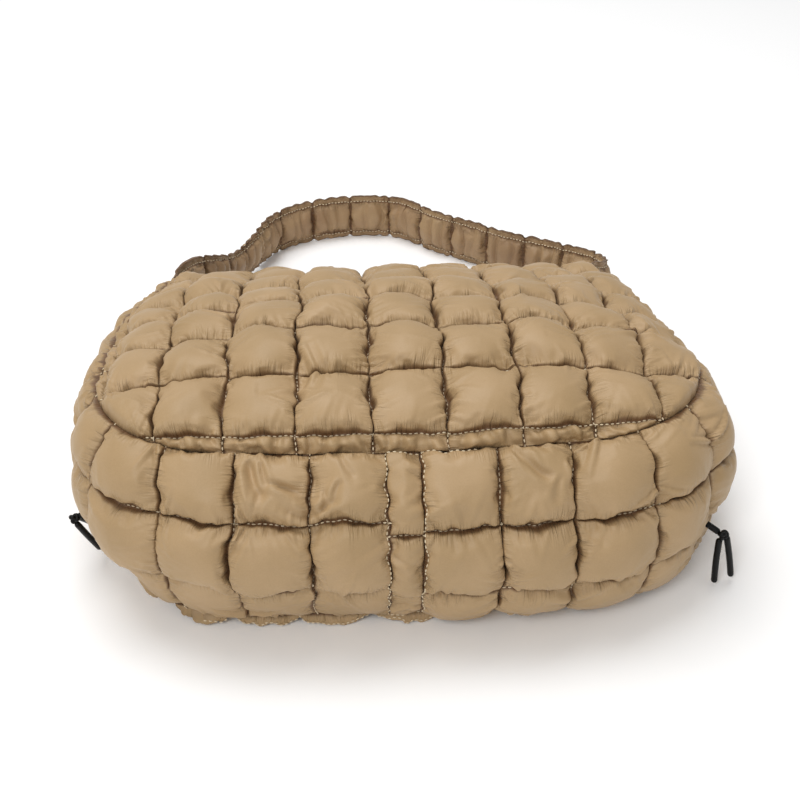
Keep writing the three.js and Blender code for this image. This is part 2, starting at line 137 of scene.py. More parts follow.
def backPoint(across, up):
    return panelPoint(
        backSections, frontBase - lying["baseOverhang"], lying["bodyReach"] + lying["baseOverhang"],
        lying["floorRise"], lying["baseBow"] / 2, lying["backCrown"], across, up,
    )


def outline(distance):
    side, run = np.sign(distance), np.abs(distance)
    turn = np.clip((run - straightBase) / cut["cornerRadius"], 0, pi / 2)
    across = np.minimum(run, straightBase) + cut["cornerRadius"] * np.sin(turn)
    up = cut["cornerRadius"] * (1 - np.cos(turn)) + np.maximum(0, run - straightBase - cornerArc)
    return side * across, up


def unit(a):
    return a / np.maximum(1e-9, np.linalg.norm(a, axis=-1, keepdims=True))


def gussetPoint(distance, down):
    start, end = frontPoint(*outline(distance)), backPoint(*outline(distance))
    ahead = np.clip(distance + 1, -seamLength, seamLength)
    behind = np.clip(distance - 1, -seamLength, seamLength)
    run = (
        frontPoint(*outline(ahead)) - frontPoint(*outline(behind))
        + backPoint(*outline(ahead)) - backPoint(*outline(behind))
    )
    chord = end - start
    length = np.linalg.norm(chord, axis=-1)
    outwards = unit(np.cross(chord, run))
    sag = smoothCurve(bulgeSections, 1, np.abs(distance) / seamLength) * lying["bulge"]
    halfAngle = 2 * np.arctan(2 * sag / length)
    radius = length / 2 / np.sin(halfAngle)
    angle = (2 * down / cut["gussetWidth"] - 1) * halfAngle
    return (
        start + chord * (0.5 + np.sin(angle) * radius / length)[..., None]
        + outwards * ((np.cos(angle) - np.cos(halfAngle)) * radius)[..., None]
    )


def normalOf(pointAt, facing, x, y):
    sideways, upwards = pointAt(x + 0.5, y) - pointAt(x - 0.5, y), pointAt(x, y + 0.5) - pointAt(x, y - 0.5)
    return facing * unit(np.cross(sideways, upwards))


def mitre(pointAt, facing, distance, down):
    inside = np.clip(distance, 1 - seamLength, seamLength - 1)
    gussetNormal = normalOf(gussetPoint, -1, inside, down + 0 * inside)
    bisector = unit(normalOf(pointAt, facing, *outline(inside)) + gussetNormal)
    return bisector / np.sum(bisector * gussetNormal, axis=-1, keepdims=True)


# A repeatable soft unevenness, about -1 to 1, from a few waves in random directions.
def unevenness(seed, x, y, wavelength, waves=7):
    maker = np.random.default_rng(seed)
    total = 0 * x
    for _ in range(waves):
        angle, phase = maker.uniform(0, 2 * pi, 2)
        pace = 2 * pi / wavelength * maker.uniform(0.6, 1.4)
        total = total + np.sin(pace * (np.cos(angle) * x + np.sin(angle) * y) + phase)
    return total / waves**0.5 * 0.8


def quiltLines(low, high, first, pitch):
    inner = first + pitch * np.arange(np.ceil((low - first) / pitch), 60)
    inner = inner[(inner > low + cut["leastStrip"]) & (inner < high - cut["leastStrip"])]
    return np.concatenate([[low], inner, [high]])


# Grid stops that hit every quilting line, closer together beside it, and which of them are lines.
def gridStops(lines, step):
    stops, onLine = [], []
    for a, b in zip(lines[:-1], lines[1:]):
        count = max(4, round((b - a) / step))
        even = np.arange(count) / count
        stops += list(a + (b - a) * (even - cut["closer"] * np.sin(2 * pi * even) / (2 * pi)))
        onLine += [True] + [False] * (count - 1)
    return np.array(stops + [lines[-1]]), np.array(onLine + [True])


# Cloth place counted in cells, so that every quilting line is a whole number.
def inCells(lines, values):
    return np.interp(values, lines, np.arange(len(lines)))


def swell(lines, values, power):
    cells = inCells(lines, values)
    k = np.clip(cells.astype(int), 0, len(lines) - 2)
    width = np.diff(lines)[k]
    return np.sin(pi * np.clip(cells - k, 0, 1)) ** power * np.minimum(1, width / cut["pitch"]) ** 0.5


def newObject(name, points, faces):
    mesh = bpy.data.meshes.new(name)
    mesh.from_pydata((np.asarray(points) * mm).tolist(), [], [list(map(int, f)) for f in faces])
    mesh.update()
    made = bpy.data.objects.new(name, mesh)
    scene.collection.objects.link(made)
    return made


# The photographer's camera: 35 degrees down, a little to the left of straight on
view = {"place": (-0.0389, -0.7658, 0.640), "tilt": 35, "turn": -3.2, "focal": 36 * 1104 / 800}
camera = bpy.data.objects.new("camera", bpy.data.cameras.new("camera"))
scene.collection.objects.link(camera)
camera.location = view["place"]
camera.rotation_euler = (radians(90 - view["tilt"]), 0, radians(view["turn"]))
camera.data.lens = view["focal"]
camera.data.sensor_width = 36
scene.camera = camera

# A cord pull at each end of the base: loop, knot and two tails
pull = {
    "cord": 5.2, "knot": 9.5, "knotCord": 3.9, "tail": 43, "gap": 0.3, "drop": 5.5, "reach": 1.5,
    "loopDepth": 2, "intoCloth": 1.5, "intoKnot": 0.3, "puff": 11, "curlInset": 1.7, "curlSize": 3.2,
    "tuck": 2.4, "tailBow": 0.6, "tailPoints": 18,
    "left": {"along": -0.452, "tails": {"a": (14, 20), "b": (14, 38)}},
    "right": {"along": 0.392, "tails": {"a": (3, -3), "b": (14, 0)}},
}


# A round tube along a line of points, with domed ends.
def tube(name, path, radius, sides=14, dome=4):
    path = np.asarray(path, float)
    ahead = unit(np.gradient(path, axis=0))
    up = np.array([0.3, 0.9, 0.2])
    radii, centres = [], []
    for k in range(dome):
        turn = pi / 2 * (k + 0.35) / dome
        centres.append(path[0] - ahead[0] * radius * cos(turn) + ahead[0] * radius)
        radii.append(radius * sin(turn))
    for k in range(1, len(path) - 1):
        centres.append(path[k])
        radii.append(radius)
    for k in reversed(range(dome)):
        turn = pi / 2 * (k + 0.35) / dome
        centres.append(path[-1] + ahead[-1] * radius * cos(turn) - ahead[-1] * radius)
        radii.append(radius * sin(turn))
    ways = np.concatenate([np.repeat(ahead[:1], dome, 0), ahead[1:-1], np.repeat(ahead[-1:], dome, 0)])
    angles = np.arange(sides) * 2 * pi / sides
    points = []
    for centre, size, way in zip(centres, radii, ways):
        first = unit(np.cross(way, up))
        second = np.cross(way, first)
        points.append(centre + size * (np.cos(angles)[:, None] * first + np.sin(angles)[:, None] * second))
    points = np.concatenate(points)
    faces = []
    for k in range(len(centres) - 1):
        for j in range(sides):
            a, b = k * sides + j, k * sides + (j + 1) % sides
            faces.append((a, b, b + sides, a + sides))
    last = (len(centres) - 1) * sides
    faces += [tuple(reversed(range(sides))), tuple(range(last, last + sides))]
    made = newObject(name, points, faces)
    made.data.shade_smooth()
    return made


def makePull(side):
    made = pull[side]
    distance = made["along"] * seamLength
    down = 2 * cut["pitch"] + lying["rowShift"][side]
    spot = np.array([distance - 1, distance, distance + 1])
    before, leaves, after = gussetPoint(spot, down + 0 * spot)
    run = after - before
    run[2] = 0
    run = unit(run)
    outwards = np.array([run[1], -run[0], 0])
    knotPlace = leaves + outwards * (cut["rim"] / 2 + pull["puff"] + pull["reach"] + pull["knot"] / 2)
    knotPlace[2] -= pull["drop"]
    surface = leaves + outwards * (cut["rim"] / 2 + pull["loopDepth"])
    toKnot = unit(knotPlace - surface)
    loopStart, loopEnd = surface - toKnot * pull["intoCloth"], knotPlace - toKnot * pull["knot"] * pull["intoKnot"]
    loop = tube("pull_loop_" + side + "_cord", np.linspace(loopStart, loopEnd, 8), pull["cord"] / 2)
    turns = np.linspace(0, 2 * pi, 60, endpoint=False)
    # a knot's own curve, sized to the knot's width
    curl = np.stack([
        np.sin(turns) + 2 * np.sin(2 * turns), np.cos(turns) - 2 * np.cos(2 * turns), -np.sin(3 * turns) * 1.5
    ], axis=1) * (pull["knot"] / 2 - pull["curlInset"]) / pull["curlSize"]
    knot = ringTube("pull_knot_" + side + "_cord", knotPlace + curl[:, [0, 2, 1]], pull["knotCord"] / 2)
    directions = {}
    for tail, (across, away) in made["tails"].items():
        directions[tail] = unit(np.array([tan(radians(across)), tan(radians(away)), -1]))
    apart = directions["b"] - directions["a"]
    apart[2] = 0
    found = [loop, knot]
    for tail, way in (("a", -0.5), ("b", 0.5)):
        direction = directions[tail]
        square = unit(apart - direction * np.dot(apart, direction))
        beside, below = pull["cord"] + 2 * pull["gap"], pull["knot"] / 2 + pull["gap"]
        top = knotPlace + square * way * beside + direction * below
        path = top + direction * np.linspace(-pull["tuck"], pull["tail"], pull["tailPoints"])[:, None]
        bow = np.sin(np.linspace(0, pi, pull["tailPoints"]))[:, None] * pull["tailBow"]
        path = path + square * way * 2 * bow
        piece = tube("pull_tail_" + tail + "_" + side + "_cord", path, pull["cord"] / 2)
        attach(piece, "root")
        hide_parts("pull_tail_" + tail + "_" + side)
        found.append(piece)
    for piece, node in ((loop, "pull_loop_"), (knot, "pull_knot_")):
        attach(piece, "root")
        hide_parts(node + side)
    return found


# A closed ring of tube along a closed line of points.
def ringTube(name, path, radius, sides=10):
    ahead = unit(np.roll(path, -1, axis=0) - np.roll(path, 1, axis=0))
    centre = path.mean(axis=0)
    first = unit(np.cross(ahead, path - centre))
    second = np.cross(ahead, first)
    angles = np.arange(sides) * 2 * pi / sides
    ways = np.cos(angles)[None, :, None] * first[:, None] + np.sin(angles)[None, :, None] * second[:, None]
    points = path[:, None] + radius * ways
    count = len(path)
    faces = []
    for k in range(count):
        for j in range(sides):
            a, b = k * sides + j, k * sides + (j + 1) % sides
            c, d = ((k + 1) % count) * sides + j, ((k + 1) % count) * sides + (j + 1) % sides
            faces.append((a, b, d, c))
    made = newObject(name, points.reshape(-1, 3), faces)
    made.data.shade_smooth()
    return made


print("stage: cord pulls")
cords = makePull("left") + makePull("right")


# What the wadding does to the outer cloth, and how it is simulated
filling = {
    "frames": 13, "quality": 4, "pressure": 26, "slack": 0.05, "weight": 0.1,
    "tension": 30, "shear": 5, "bending": 2.5, "pin": 5,
    "startPuff": 10.5, "squareness": 0.29, "mostPuff": 17, "lineDepth": 4.5,
    "seamDepth": 1.2, "bandSeamDepth": -0.8, "seamWave": 15,
    "rowDepth": 0.55, "rowLean": 0.7, "firstRowDepth": 0.25, "firstRowPuff": 1.35, "gussetRowDepth": 0.5,
    "wobble": 0.8, "wobbleReach": 6, "fromEdge": 40,
    # lengths of the waves in which the lines, the height, the tightness and the puffs vary
    "wobbleWave": 15, "wanderWave": 75, "heightWave": 120, "tightWave": 95, "puffWave": 60,
}


def inflate(name, points, faces, pinned, lift, slack=None, pressure=None):
    start = points + lift
    cloth = newObject(name + "_sim", start, faces)
    group = cloth.vertex_groups.new(name="seams")
    group.add([int(i) for i in np.flatnonzero(pinned)], 1, "REPLACE")
    modifier = cloth.modifiers.new("cloth", "CLOTH")
    settings = modifier.settings
    settings.quality = filling["quality"]
    settings.mass = filling["weight"]
    settings.tension_stiffness = filling["tension"]
    settings.compression_stiffness = filling["tension"]
    settings.shear_stiffness = filling["shear"]
    settings.bending_stiffness = filling["bending"]
    settings.vertex_group_mass = "seams"
    settings.pin_stiffness = filling["pin"]
    settings.use_pressure = True
    settings.uniform_pressure_force = filling["pressure"] if pressure is None else pressure
    settings.shrink_min = -(filling["slack"] if slack is None else slack)
    settings.effector_weights.gravity = 0
    modifier.collision_settings.use_collision = False
    modifier.collision_settings.use_self_collision = False
    last = filling["frames"]
    modifier.point_cache.frame_start = 1
    modifier.point_cache.frame_end = last
    for number in range(1, last + 1):
        scene.frame_set(number)
    shape = cloth.evaluated_get(bpy.context.evaluated_depsgraph_get()).to_mesh()
    found = np.empty(len(shape.vertices) * 3)
    shape.vertices.foreach_get("co", found)
    bpy.data.objects.remove(cloth)
    scene.frame_set(1)
    return found.reshape(-1, 3) / mm


# Outer cloth and lining of a wall, joined all round their edges into one closed skin.
def closeWall(name, outer, inner, fine, lining, facing):
    count = len(outer)
    fine = fine if facing > 0 else fine[:, ::-1]
    sides = np.stack([fine, np.roll(fine, -1, axis=1)], axis=-1).reshape(-1, 2)
    _, sideOf, times = np.unique(np.sort(sides, axis=1), axis=0, return_inverse=True, return_counts=True)
    rim = sides[times[sideOf.ravel()] == 1]
    faces = fine.tolist() + [(b, a, a + count, b + count) for a, b in rim.tolist()]
    faces += [[p + count for p in (face[::-1] if facing > 0 else face)] for face in lining]
    return newObject(name, np.concatenate([outer, inner]), faces)


# Cuts each quad of simulated cloth in four and rounds it, but keeps sewn points where they are.
def refine(quads, x, y, places, held):
    sides = np.sort(np.stack([quads, np.roll(quads, -1, axis=1)], axis=-1).reshape(-1, 2), axis=1)
    ends, sideOf, times = np.unique(sides, axis=0, return_inverse=True, return_counts=True)
    sideOf = sideOf.ravel()
    count = len(x)
    middle = count + sideOf.reshape(-1, 4)
    centre = np.repeat((count + len(ends) + np.arange(len(quads)))[:, None], 4, axis=1)
    fine = np.stack([quads, middle, centre, np.roll(middle, 1, axis=1)], axis=-1).reshape(-1, 4)
    atEdge = (times[sideOf] == 1).reshape(-1, 4)
    lining = [
        [p for q, m, cutHere in zip(*row) for p in ((q, m) if cutHere else (q,))]
        for row in zip(quads.tolist(), middle.tolist(), atEdge.tolist())
    ]
    faceMiddle, sideMiddle = places[quads].mean(axis=1), places[ends].mean(axis=1)
    beside = np.zeros_like(sideMiddle)
    np.add.at(beside, sideOf, np.repeat(faceMiddle, 4, axis=0))
    free = ~held[ends].all(axis=1)[:, None]
    newSides = np.where(free, (2 * sideMiddle + beside) / 4, sideMiddle)
    around, touching = np.zeros_like(places), np.zeros(count)
    np.add.at(around, quads.ravel(), np.repeat(faceMiddle, 4, axis=0))
    np.add.at(touching, quads.ravel(), 1)
    spokes, spokeCount = np.zeros_like(places), np.zeros(count)
    np.add.at(spokes, ends.ravel(), np.repeat(sideMiddle, 2, axis=0))
    np.add.at(spokeCount, ends.ravel(), 1)
    rounded = (around / touching[:, None] + 2 * spokes / spokeCount[:, None] + places) / 4
    corners = np.where(held[:, None], places, rounded)
    shared = [np.concatenate([v, v[ends].mean(axis=1), v[quads].mean(axis=1)]) for v in (x, y)]
    return fine, lining, shared[0], shared[1], np.concatenate([corners, newSides, faceMiddle])


# Which points lie on the rim of a mesh of quads
def rimPoints(quads, count):
    sides = np.sort(np.stack([quads, np.roll(quads, -1, axis=1)], axis=-1).reshape(-1, 2), axis=1)
    ends, times = np.unique(sides, axis=0, return_counts=True)
    rim = np.zeros(count, bool)
    rim[ends[times == 1]] = True
    return rim


def nearestLine(lines, values):
    line = np.abs(values[:, None] - lines[None, :]).argmin(axis=1)
    return line, values - lines[line]


# The small folds beside every seam, and how far the puffs lean over it
folds = {
    "depth": 3.3, "apart": 10.5, "reach": 13, "leastReach": 3, "clear": 1.6, "slant": 0.45, "width": 0.65,
    "ruffle": 4.4, "ruffleClear": 2.5, "ruffleSlant": 0.45, "ruffleWidth": 0.6,
    "lean": 0.62, "leanReach": 4.5, "stripLean": 0.3,
    # lengths of the waves in which their reach, slant, grouping, ruffle and lean vary
    "reachWave": 38, "slantWave": 70, "groupWave": 55, "ruffleWave": 15, "leanWave": 60,
}


# Short narrow folds that run away from each quilting line in groups, none on the line itself,
# and a ruffle right across a narrow strip.
def gathers(seed, lines, across, along, ruffled=1):
    line, away = nearestLine(lines, across)
    away = np.abs(away)
    reach = folds["reach"] * (1 + 0.7 * unevenness(seed, along, 300.0 * line, folds["reachWave"]))
    slant = folds["slant"] * away * np.sign(unevenness(seed + 3, along, 200.0 * line, folds["slantWave"]))
    ripple = unevenness(seed + 1, along + slant, 400.0 * line, folds["apart"], waves=9)
    group = np.clip(0.55 + 0.75 * unevenness(seed + 4, along, 500.0 * line, folds["groupWave"]), 0.1, 1.5)
    fold = -np.exp(-(ripple / folds["width"]) ** 2) + 0.45 * ripple
    near = np.exp(-((away / np.maximum(folds["leastReach"], reach)) ** 1.5))
    near = np.clip(away / folds["clear"], 0, 1) * near
    width = np.diff(lines)[np.clip(np.searchsorted(lines, across, side="right") - 1, 0, len(lines) - 2)]
    strip = np.where(width < cut["narrow"], np.clip(away / folds["ruffleClear"], 0, 1), 0)
    slanted = along + folds["ruffleSlant"] * across
    ruffle = unevenness(seed + 2, slanted, 0.3 * across, folds["ruffleWave"], waves=9)
    valley = 0.5 * ruffle - np.exp(-(ruffle / folds["ruffleWidth"]) ** 2)
    return folds["depth"] * near * group * fold + folds["ruffle"] * ruffled * strip * valley


# How far a point shifts so that the puffs on both sides lean over the quilting line between them.
def lean(seed, lines, across, along):
    line, away = nearestLine(lines, across)
    uneven = unevenness(seed, along, 300.0 * line, folds["leanWave"])
    amount = folds["lean"] * np.clip(0.75 + 0.85 * uneven, 0, 1.35)
    spans = np.diff(lines)
    narrower = np.minimum(spans[np.maximum(line - 1, 0)], spans[np.minimum(line, len(spans) - 1)])
    amount = amount * np.where(narrower < cut["narrow"], folds["stripLean"], 1)
    return -away * amount * np.exp(-((away / folds["leanReach"]) ** 2))


# One long crease across a puff: where it starts and ends on the cloth, its bow, depth and width.
def foldAlong(crease, x, y):
    (startX, startY), (endX, endY), bow, depth, width = crease
    long = np.hypot(endX - startX, endY - startY)
    aheadX, aheadY = (endX - startX) / long, (endY - startY) / long
    run = ((x - startX) * aheadX + (y - startY) * aheadY) / long
    off = (y - startY) * aheadX - (x - startX) * aheadY - 4 * bow * run * (1 - run)
    taper = np.clip(1.15 - (2 * np.clip(run, -1, 2) - 1) ** 4, 0, 1) * ((run > -0.1) & (run < 1.1))
    spread = width * (1 + 0.9 * np.clip(run, 0, 1))
    valley = np.exp(-((off / spread) ** 2)) - 0.45 * np.exp(-(((off - 1.9 * spread) / spread) ** 2))
    return depth * taper * valley


seamSeeds = {"front": 91, "back": 259, "band": 95}


# How far a seam between two walls is pulled in, the same for both of them, and not at the mouth.
def seamSink(distance, seam):
    toMouth = np.clip((seamLength - np.abs(distance)) / 25, 0, 1)
    depth = filling["bandSeamDepth"] if seam == "band" else filling["seamDepth"]
    return depth * toMouth * (1 + 0.45 * unevenness(seamSeeds[seam], distance, 0 * distance, filling["seamWave"]))


# Keeps the cloth where it rests flat, and no puff higher than the real ones.
def settle(places, base, normals, floor=0.15):
    out = np.sum((places - base) * normals, axis=-1, keepdims=True)
    places = places - normals * np.maximum(0, out - filling["mostPuff"])
    places[:, 2] = np.maximum(floor, places[:, 2])
    return places


# Two UV maps: cloth counts cells, with a whole number on every quilting line, and sheet counts cloth
# lengths of one cell.
def mapCloth(made, acrossLines, upLines, x, y):
    corner = np.empty(len(made.data.loops), int)
    made.data.loops.foreach_get("vertex_index", corner)
    corner = corner % len(x)
    for name, u, v in (
        ("cloth", inCells(acrossLines, x), inCells(upLines, y)), ("sheet", x / cut["pitch"], y / cut["pitch"]),
    ):
        layer = made.data.uv_layers.new(name=name)
        layer.data.foreach_set("uv", np.stack([u[corner], v[corner]], axis=1).ravel())


# A padded wall of square puffs over a grid of cloth, in cells of the quilting.
def paddedWall(
    name, acrossLines, upLines, inside, snap, pointAt, rimAt, facing, wander, seed, rowDepth, rowPuff, lip=0
):
    acrossStops, _ = gridStops(acrossLines, cut["gridStep"])
    upStops, _ = gridStops(upLines, cut["gridStep"])
    x, y = np.meshgrid(acrossStops, upStops, indexing="ij")
    kept = inside((x[:-1, :-1] + x[1:, 1:]) / 2, (y[:-1, :-1] + y[1:, 1:]) / 2)
    number = np.arange(x.size).reshape(x.shape)
    quads = np.stack([number[:-1, :-1], number[1:, :-1], number[1:, 1:], number[:-1, 1:]], axis=-1)[kept]
    used = np.unique(quads)
    renumber = np.zeros(x.size, int)
    renumber[used] = np.arange(len(used))
    quads = renumber[quads]
    x, y = x.ravel()[used], y.ravel()[used]
    rim = rimPoints(quads, len(x))
    x[rim], y[rim] = snap(x[rim], y[rim])

    # the wall's middle surface, its outward way, how far its outer cloth is pulled in, and where it is sewn
    def lay(x, y, rim):
        nearX, nearY = snap(x, y)
        fromEdge = np.clip(np.hypot(nearX - x, nearY - y) / filling["fromEdge"], 0, 1)
        column, fromColumn = nearestLine(acrossLines, x)
        row, fromRow = nearestLine(upLines, y)
        wobble = filling["wobble"] * np.clip(fromEdge * 4, 0, 1) if wander else 0
        alongX = x + wander * fromEdge * unevenness(seed, x, y, filling["wanderWave"])
        alongX = alongX + wobble * unevenness(
            seed + 8, y, 300.0 * column, filling["wobbleWave"]
        ) * np.exp(-np.abs(fromColumn) / filling["wobbleReach"])
        alongY = y + wander * fromEdge * unevenness(seed + 1, x, y, filling["wanderWave"])
        alongY = alongY + wobble * unevenness(
            seed + 9, x, 300.0 * row, filling["wobbleWave"]
        ) * np.exp(-np.abs(fromRow) / filling["wobbleReach"])
        base = pointAt(alongX, alongY)
        normals = normalOf(pointAt, facing, alongX, alongY)
        normals[rim], rimSink = rimAt(x[rim], y[rim])
        height = 1.2 * wander * fromEdge * unevenness(seed + 2, x, y, filling["heightWave"])
        base = base + normals * height[:, None]
        tight = np.clip(0.85 + 0.55 * unevenness(seed + 4, x, y, filling["tightWave"]), 0.25, 1.5)
        sunk = filling["lineDepth"] * np.clip(fromEdge * 2.5, 0, 1) * tight
        sunk = sunk * np.where(np.abs(fromRow) < sameSpot, rowDepth[row], 1)
        sunk[rim] = rimSink
        pinned = rim | (np.abs(fromColumn) < sameSpot) | (np.abs(fromRow) < sameSpot)
        return base, normals, sunk, pinned

    base, normals, sunk, pinned = lay(x, y, rim)
    power = filling["squareness"]
    cells = swell(acrossLines, x, power) * swell(upLines, y, power)
    cells = cells * rowPuff[np.clip(np.searchsorted(upLines, y, side="right") - 1, 0, len(upLines) - 2)]
    puff = filling["startPuff"] * cells * (1 + 0.15 * unevenness(seed + 3, x, y, filling["puffWave"]))
    lift = np.where(pinned, cut["rim"] / 2 - sunk, cut["rim"] / 2 + puff)
    places = inflate(name, base, quads if facing > 0 else quads[:, ::-1], pinned, normals * lift[:, None])
    fine, lining, x, y, places = refine(quads, x, y, places, pinned)
    rim = rimPoints(fine, len(x))
    x[rim], y[rim] = snap(x[rim], y[rim])
    base, normals, sunk, pinned = lay(x, y, rim)
    sideways = unit(pointAt(x + 0.5, y) - pointAt(x - 0.5, y))
    upwards = unit(pointAt(x, y + 0.5) - pointAt(x, y - 0.5))
    nearX, nearY = snap(x, y)
    straight = np.abs(nearestLine(acrossLines, nearX)[1]) < sameSpot
    straight = straight | (np.abs(nearestLine(upLines, nearY)[1]) < sameSpot)
    clear = np.where(straight, 1, np.clip(np.hypot(nearX - x, nearY - y) / 5, 0, 1))
    small = gathers(seed + 5, acrossLines, x, y, 0.3) + gathers(seed + 15, upLines, y, x, np.where(y < lip, 0.3, 1))
    for crease in creases.get(name, ()):
        small = small - foldAlong(crease, x, y)
    # a row that is held flat, or stands fuller than the rest
    row = np.clip(np.searchsorted(upLines, y, side="right") - 1, 0, len(upLines) - 2)
    fuller = (rowPuff[row] - 1) * swell(upLines, y, 0.5)
    out = np.sum((places - base) * normals, axis=1)
    places = places + normals * (fuller * np.maximum(0, out) * ~pinned)[:, None]
    places = places + normals * (small * np.where(pinned, 0, np.maximum(clear, 0.5)))[:, None]
    places = places + sideways * (lean(seed + 6, acrossLines, x, y) * clear)[:, None]
    places = places + upwards * (filling["rowLean"] * lean(seed + 7, upLines, y, x) * clear)[:, None]
    # a first strip that bulges out beyond its seam
    strip = np.where(y < upLines[1], swell(upLines[:2], y, 0.6), 0) * swell(acrossLines, x, 0.4)
    strip = strip * np.clip((halfPanel - np.abs(x)) / lying["sideFade"], 0, 1)
    strip = strip * np.clip((lying["lipEnd"] - x) / lying["lipFade"], 0, 1)
    places = places - upwards * (lip * strip)[:, None]
    places[rim] = base[rim] + normals[rim] * (cut["rim"] / 2 - sunk[rim])[:, None]
    outer = settle(places, base, normals)
    cells = swell(acrossLines, x, power) * swell(upLines, y, power)
    liningDepth = np.where(rim, cut["rim"] / 2, np.maximum(cut["rim"] / 2, sunk - 0.7))
    inner = base - normals * (liningDepth + 0.75 * cut["liningPuff"] * cells)[:, None]
    wall = closeWall(name, outer, inner, fine, lining, facing)
    mapCloth(wall, acrossLines, upLines, x, y)
    wall.data.shade_smooth()
    return wall, {"x": x, "y": y, "outer": outer, "normals": normals}


def insidePanel(x, y):
    radius = cut["cornerRadius"]
    reach, drop = np.maximum(0, np.abs(x) - straightBase), np.maximum(0, radius - y)
    return np.hypot(reach, drop) < radius - 0.4


# The nearest place on a panel's edge.
def snapPanel(x, y):
    radius = cut["cornerRadius"]
    reach, drop = np.abs(x) - straightBase, radius - y
    length = np.maximum(1e-6, np.hypot(reach, drop))
    inCorner = (reach > 0) & (drop > 0)
    cornerX = np.sign(x) * (straightBase + reach * radius / length)
    cornerY = radius - drop * radius / length
    gaps = np.stack([halfPanel - np.abs(x), y, cut["panelHeight"] - y])
    nearest = np.argmin(gaps, axis=0)
    straightX = np.where(nearest == 0, np.sign(x) * halfPanel, x)
    straightY = np.where(nearest == 1, 0, np.where(nearest == 2, cut["panelHeight"], y))
    toMouth = cut["panelHeight"] - y < np.abs(radius - length)
    useCorner = inCorner & ~toMouth
    return np.where(useCorner, cornerX, straightX), np.where(useCorner, cornerY, straightY)


def seamDistance(x, y):
    reach, drop = np.abs(x) - straightBase, cut["cornerRadius"] - y
    turned = straightBase + cut["cornerRadius"] * np.arctan2(np.maximum(0, reach), np.maximum(1e-9, drop))
    run = np.where(drop <= 0, straightBase + cornerArc - drop, turned)
    return np.where(reach <= 0, x, np.sign(x) * run)


def insetPanel(pointAt):
    def place(x, y):
        inX = x * (1 - cut["seamGap"] / cut["panelWidth"])
        return pointAt(inX, y + cut["seamGap"] / 2 * (1 - y / cut["panelHeight"]))
    return place


# Front and back panels
panelLines = {
    "up": quiltLines(0, cut["panelHeight"], cut["firstRow"], cut["pitch"]),
    "front": quiltLines(-halfPanel, halfPanel, cut["frontColumn"], cut["pitch"]),
    "back": quiltLines(-halfPanel, halfPanel, cut["pitch"] / 2, cut["pitch"]),
}


def makePanel(name, lines, pointAt, facing, wander, seed, lip=0):
    down = 0 if facing > 0 else cut["gussetWidth"]

    def rimAt(x, y):
        atMouth = y > cut["panelHeight"] - 1e-3
        distance = seamDistance(x, y)
        seam = mitre(pointAt, facing, distance, down)
        free = normalOf(pointAt, facing, x, y)
        atCorner = np.abs(np.abs(x) - halfPanel) < 1e-3
        sink = np.where(atMouth, 0, seamSink(distance, "front" if facing > 0 else "back"))
        return np.where((atMouth & ~atCorner)[:, None], free, seam), sink

    rowDepth = np.full(len(panelLines["up"]), filling["rowDepth"])
    rowDepth[1] = filling["firstRowDepth"]
    rowPuff = np.ones(len(rowDepth) - 1)
    rowPuff[0] = filling["firstRowPuff"]
    return paddedWall(
        name, lines, panelLines["up"], insidePanel, snapPanel, insetPanel(pointAt), rimAt, facing, wander, seed,
        rowDepth, rowPuff, lip,
    )


# The gusset's three stretches
bandWander = {"most": 1.1, "wave": 17, "reach": 8, "seed": 96}
bandEdges = cut["bandCentre"] - cut["bandWidth"] / 2, cut["bandCentre"] + cut["bandWidth"] / 2
gussetColumns = {
    "left": quiltLines(-seamLength, bandEdges[0], bandEdges[0], cut["pitch"]),
    "band": np.array(bandEdges),
    "right": quiltLines(bandEdges[1], seamLength, bandEdges[1], cut["pitch"]),
}


def gussetRows(which):
    return quiltLines(0, cut["gussetWidth"], cut["pitch"] + lying["rowShift"][which], cut["pitch"])


def makeGusset(name, which, wander, seed):
    columns, rows = gussetColumns[which], gussetRows(which)
    middle = (columns[0] + columns[-1]) / 2
    narrower = 1 - cut["seamGap"] / (columns[-1] - columns[0])

    # the seams beside the band wander a little, the same for both of their walls
    def place(x, y):
        for edge in bandEdges:
            bend = bandWander["most"] * unevenness(bandWander["seed"], y, 0 * y + 9 * edge, bandWander["wave"])
            x = x + bend * np.exp(-(((x - edge) / bandWander["reach"]) ** 2))
        return gussetPoint(
            middle + (x - middle) * narrower,
            cut["gussetWidth"] / 2 + (y - cut["gussetWidth"] / 2) * (1 - cut["seamGap"] / cut["gussetWidth"]),
        )

    def snap(x, y):
        gaps = np.stack([x - columns[0], columns[-1] - x, y, cut["gussetWidth"] - y])
        nearest = np.argmin(gaps, axis=0)
        return (
            np.where(nearest == 0, columns[0], np.where(nearest == 1, columns[-1], x)),
            np.where(nearest == 2, 0, np.where(nearest == 3, cut["gussetWidth"], y)),
        )

    def rimAt(x, y):
        top, bottom = y < 1e-3, y > cut["gussetWidth"] - 1e-3
        normals = normalOf(gussetPoint, -1, x, y)
        normals = np.where(top[:, None], mitre(frontPoint, 1, x, 0), normals)
        normals = np.where(bottom[:, None], mitre(backPoint, -1, x, cut["gussetWidth"]), normals)
        sink = np.where(top, seamSink(x, "front"), np.where(bottom, seamSink(x, "back"), seamSink(x + y, "band")))
        return normals, np.where(np.abs(x) > seamLength - 1e-3, 0, sink)

    rowPuff = np.ones(len(rows) - 1)
    rowPuff[-1] = lying["lowRowPuff"][which]
    return paddedWall(
        name, columns, rows, lambda x, y: x == x, snap, place, rimAt, -1, wander, seed,
        np.full(len(rows), filling["gussetRowDepth"]), rowPuff,
    )


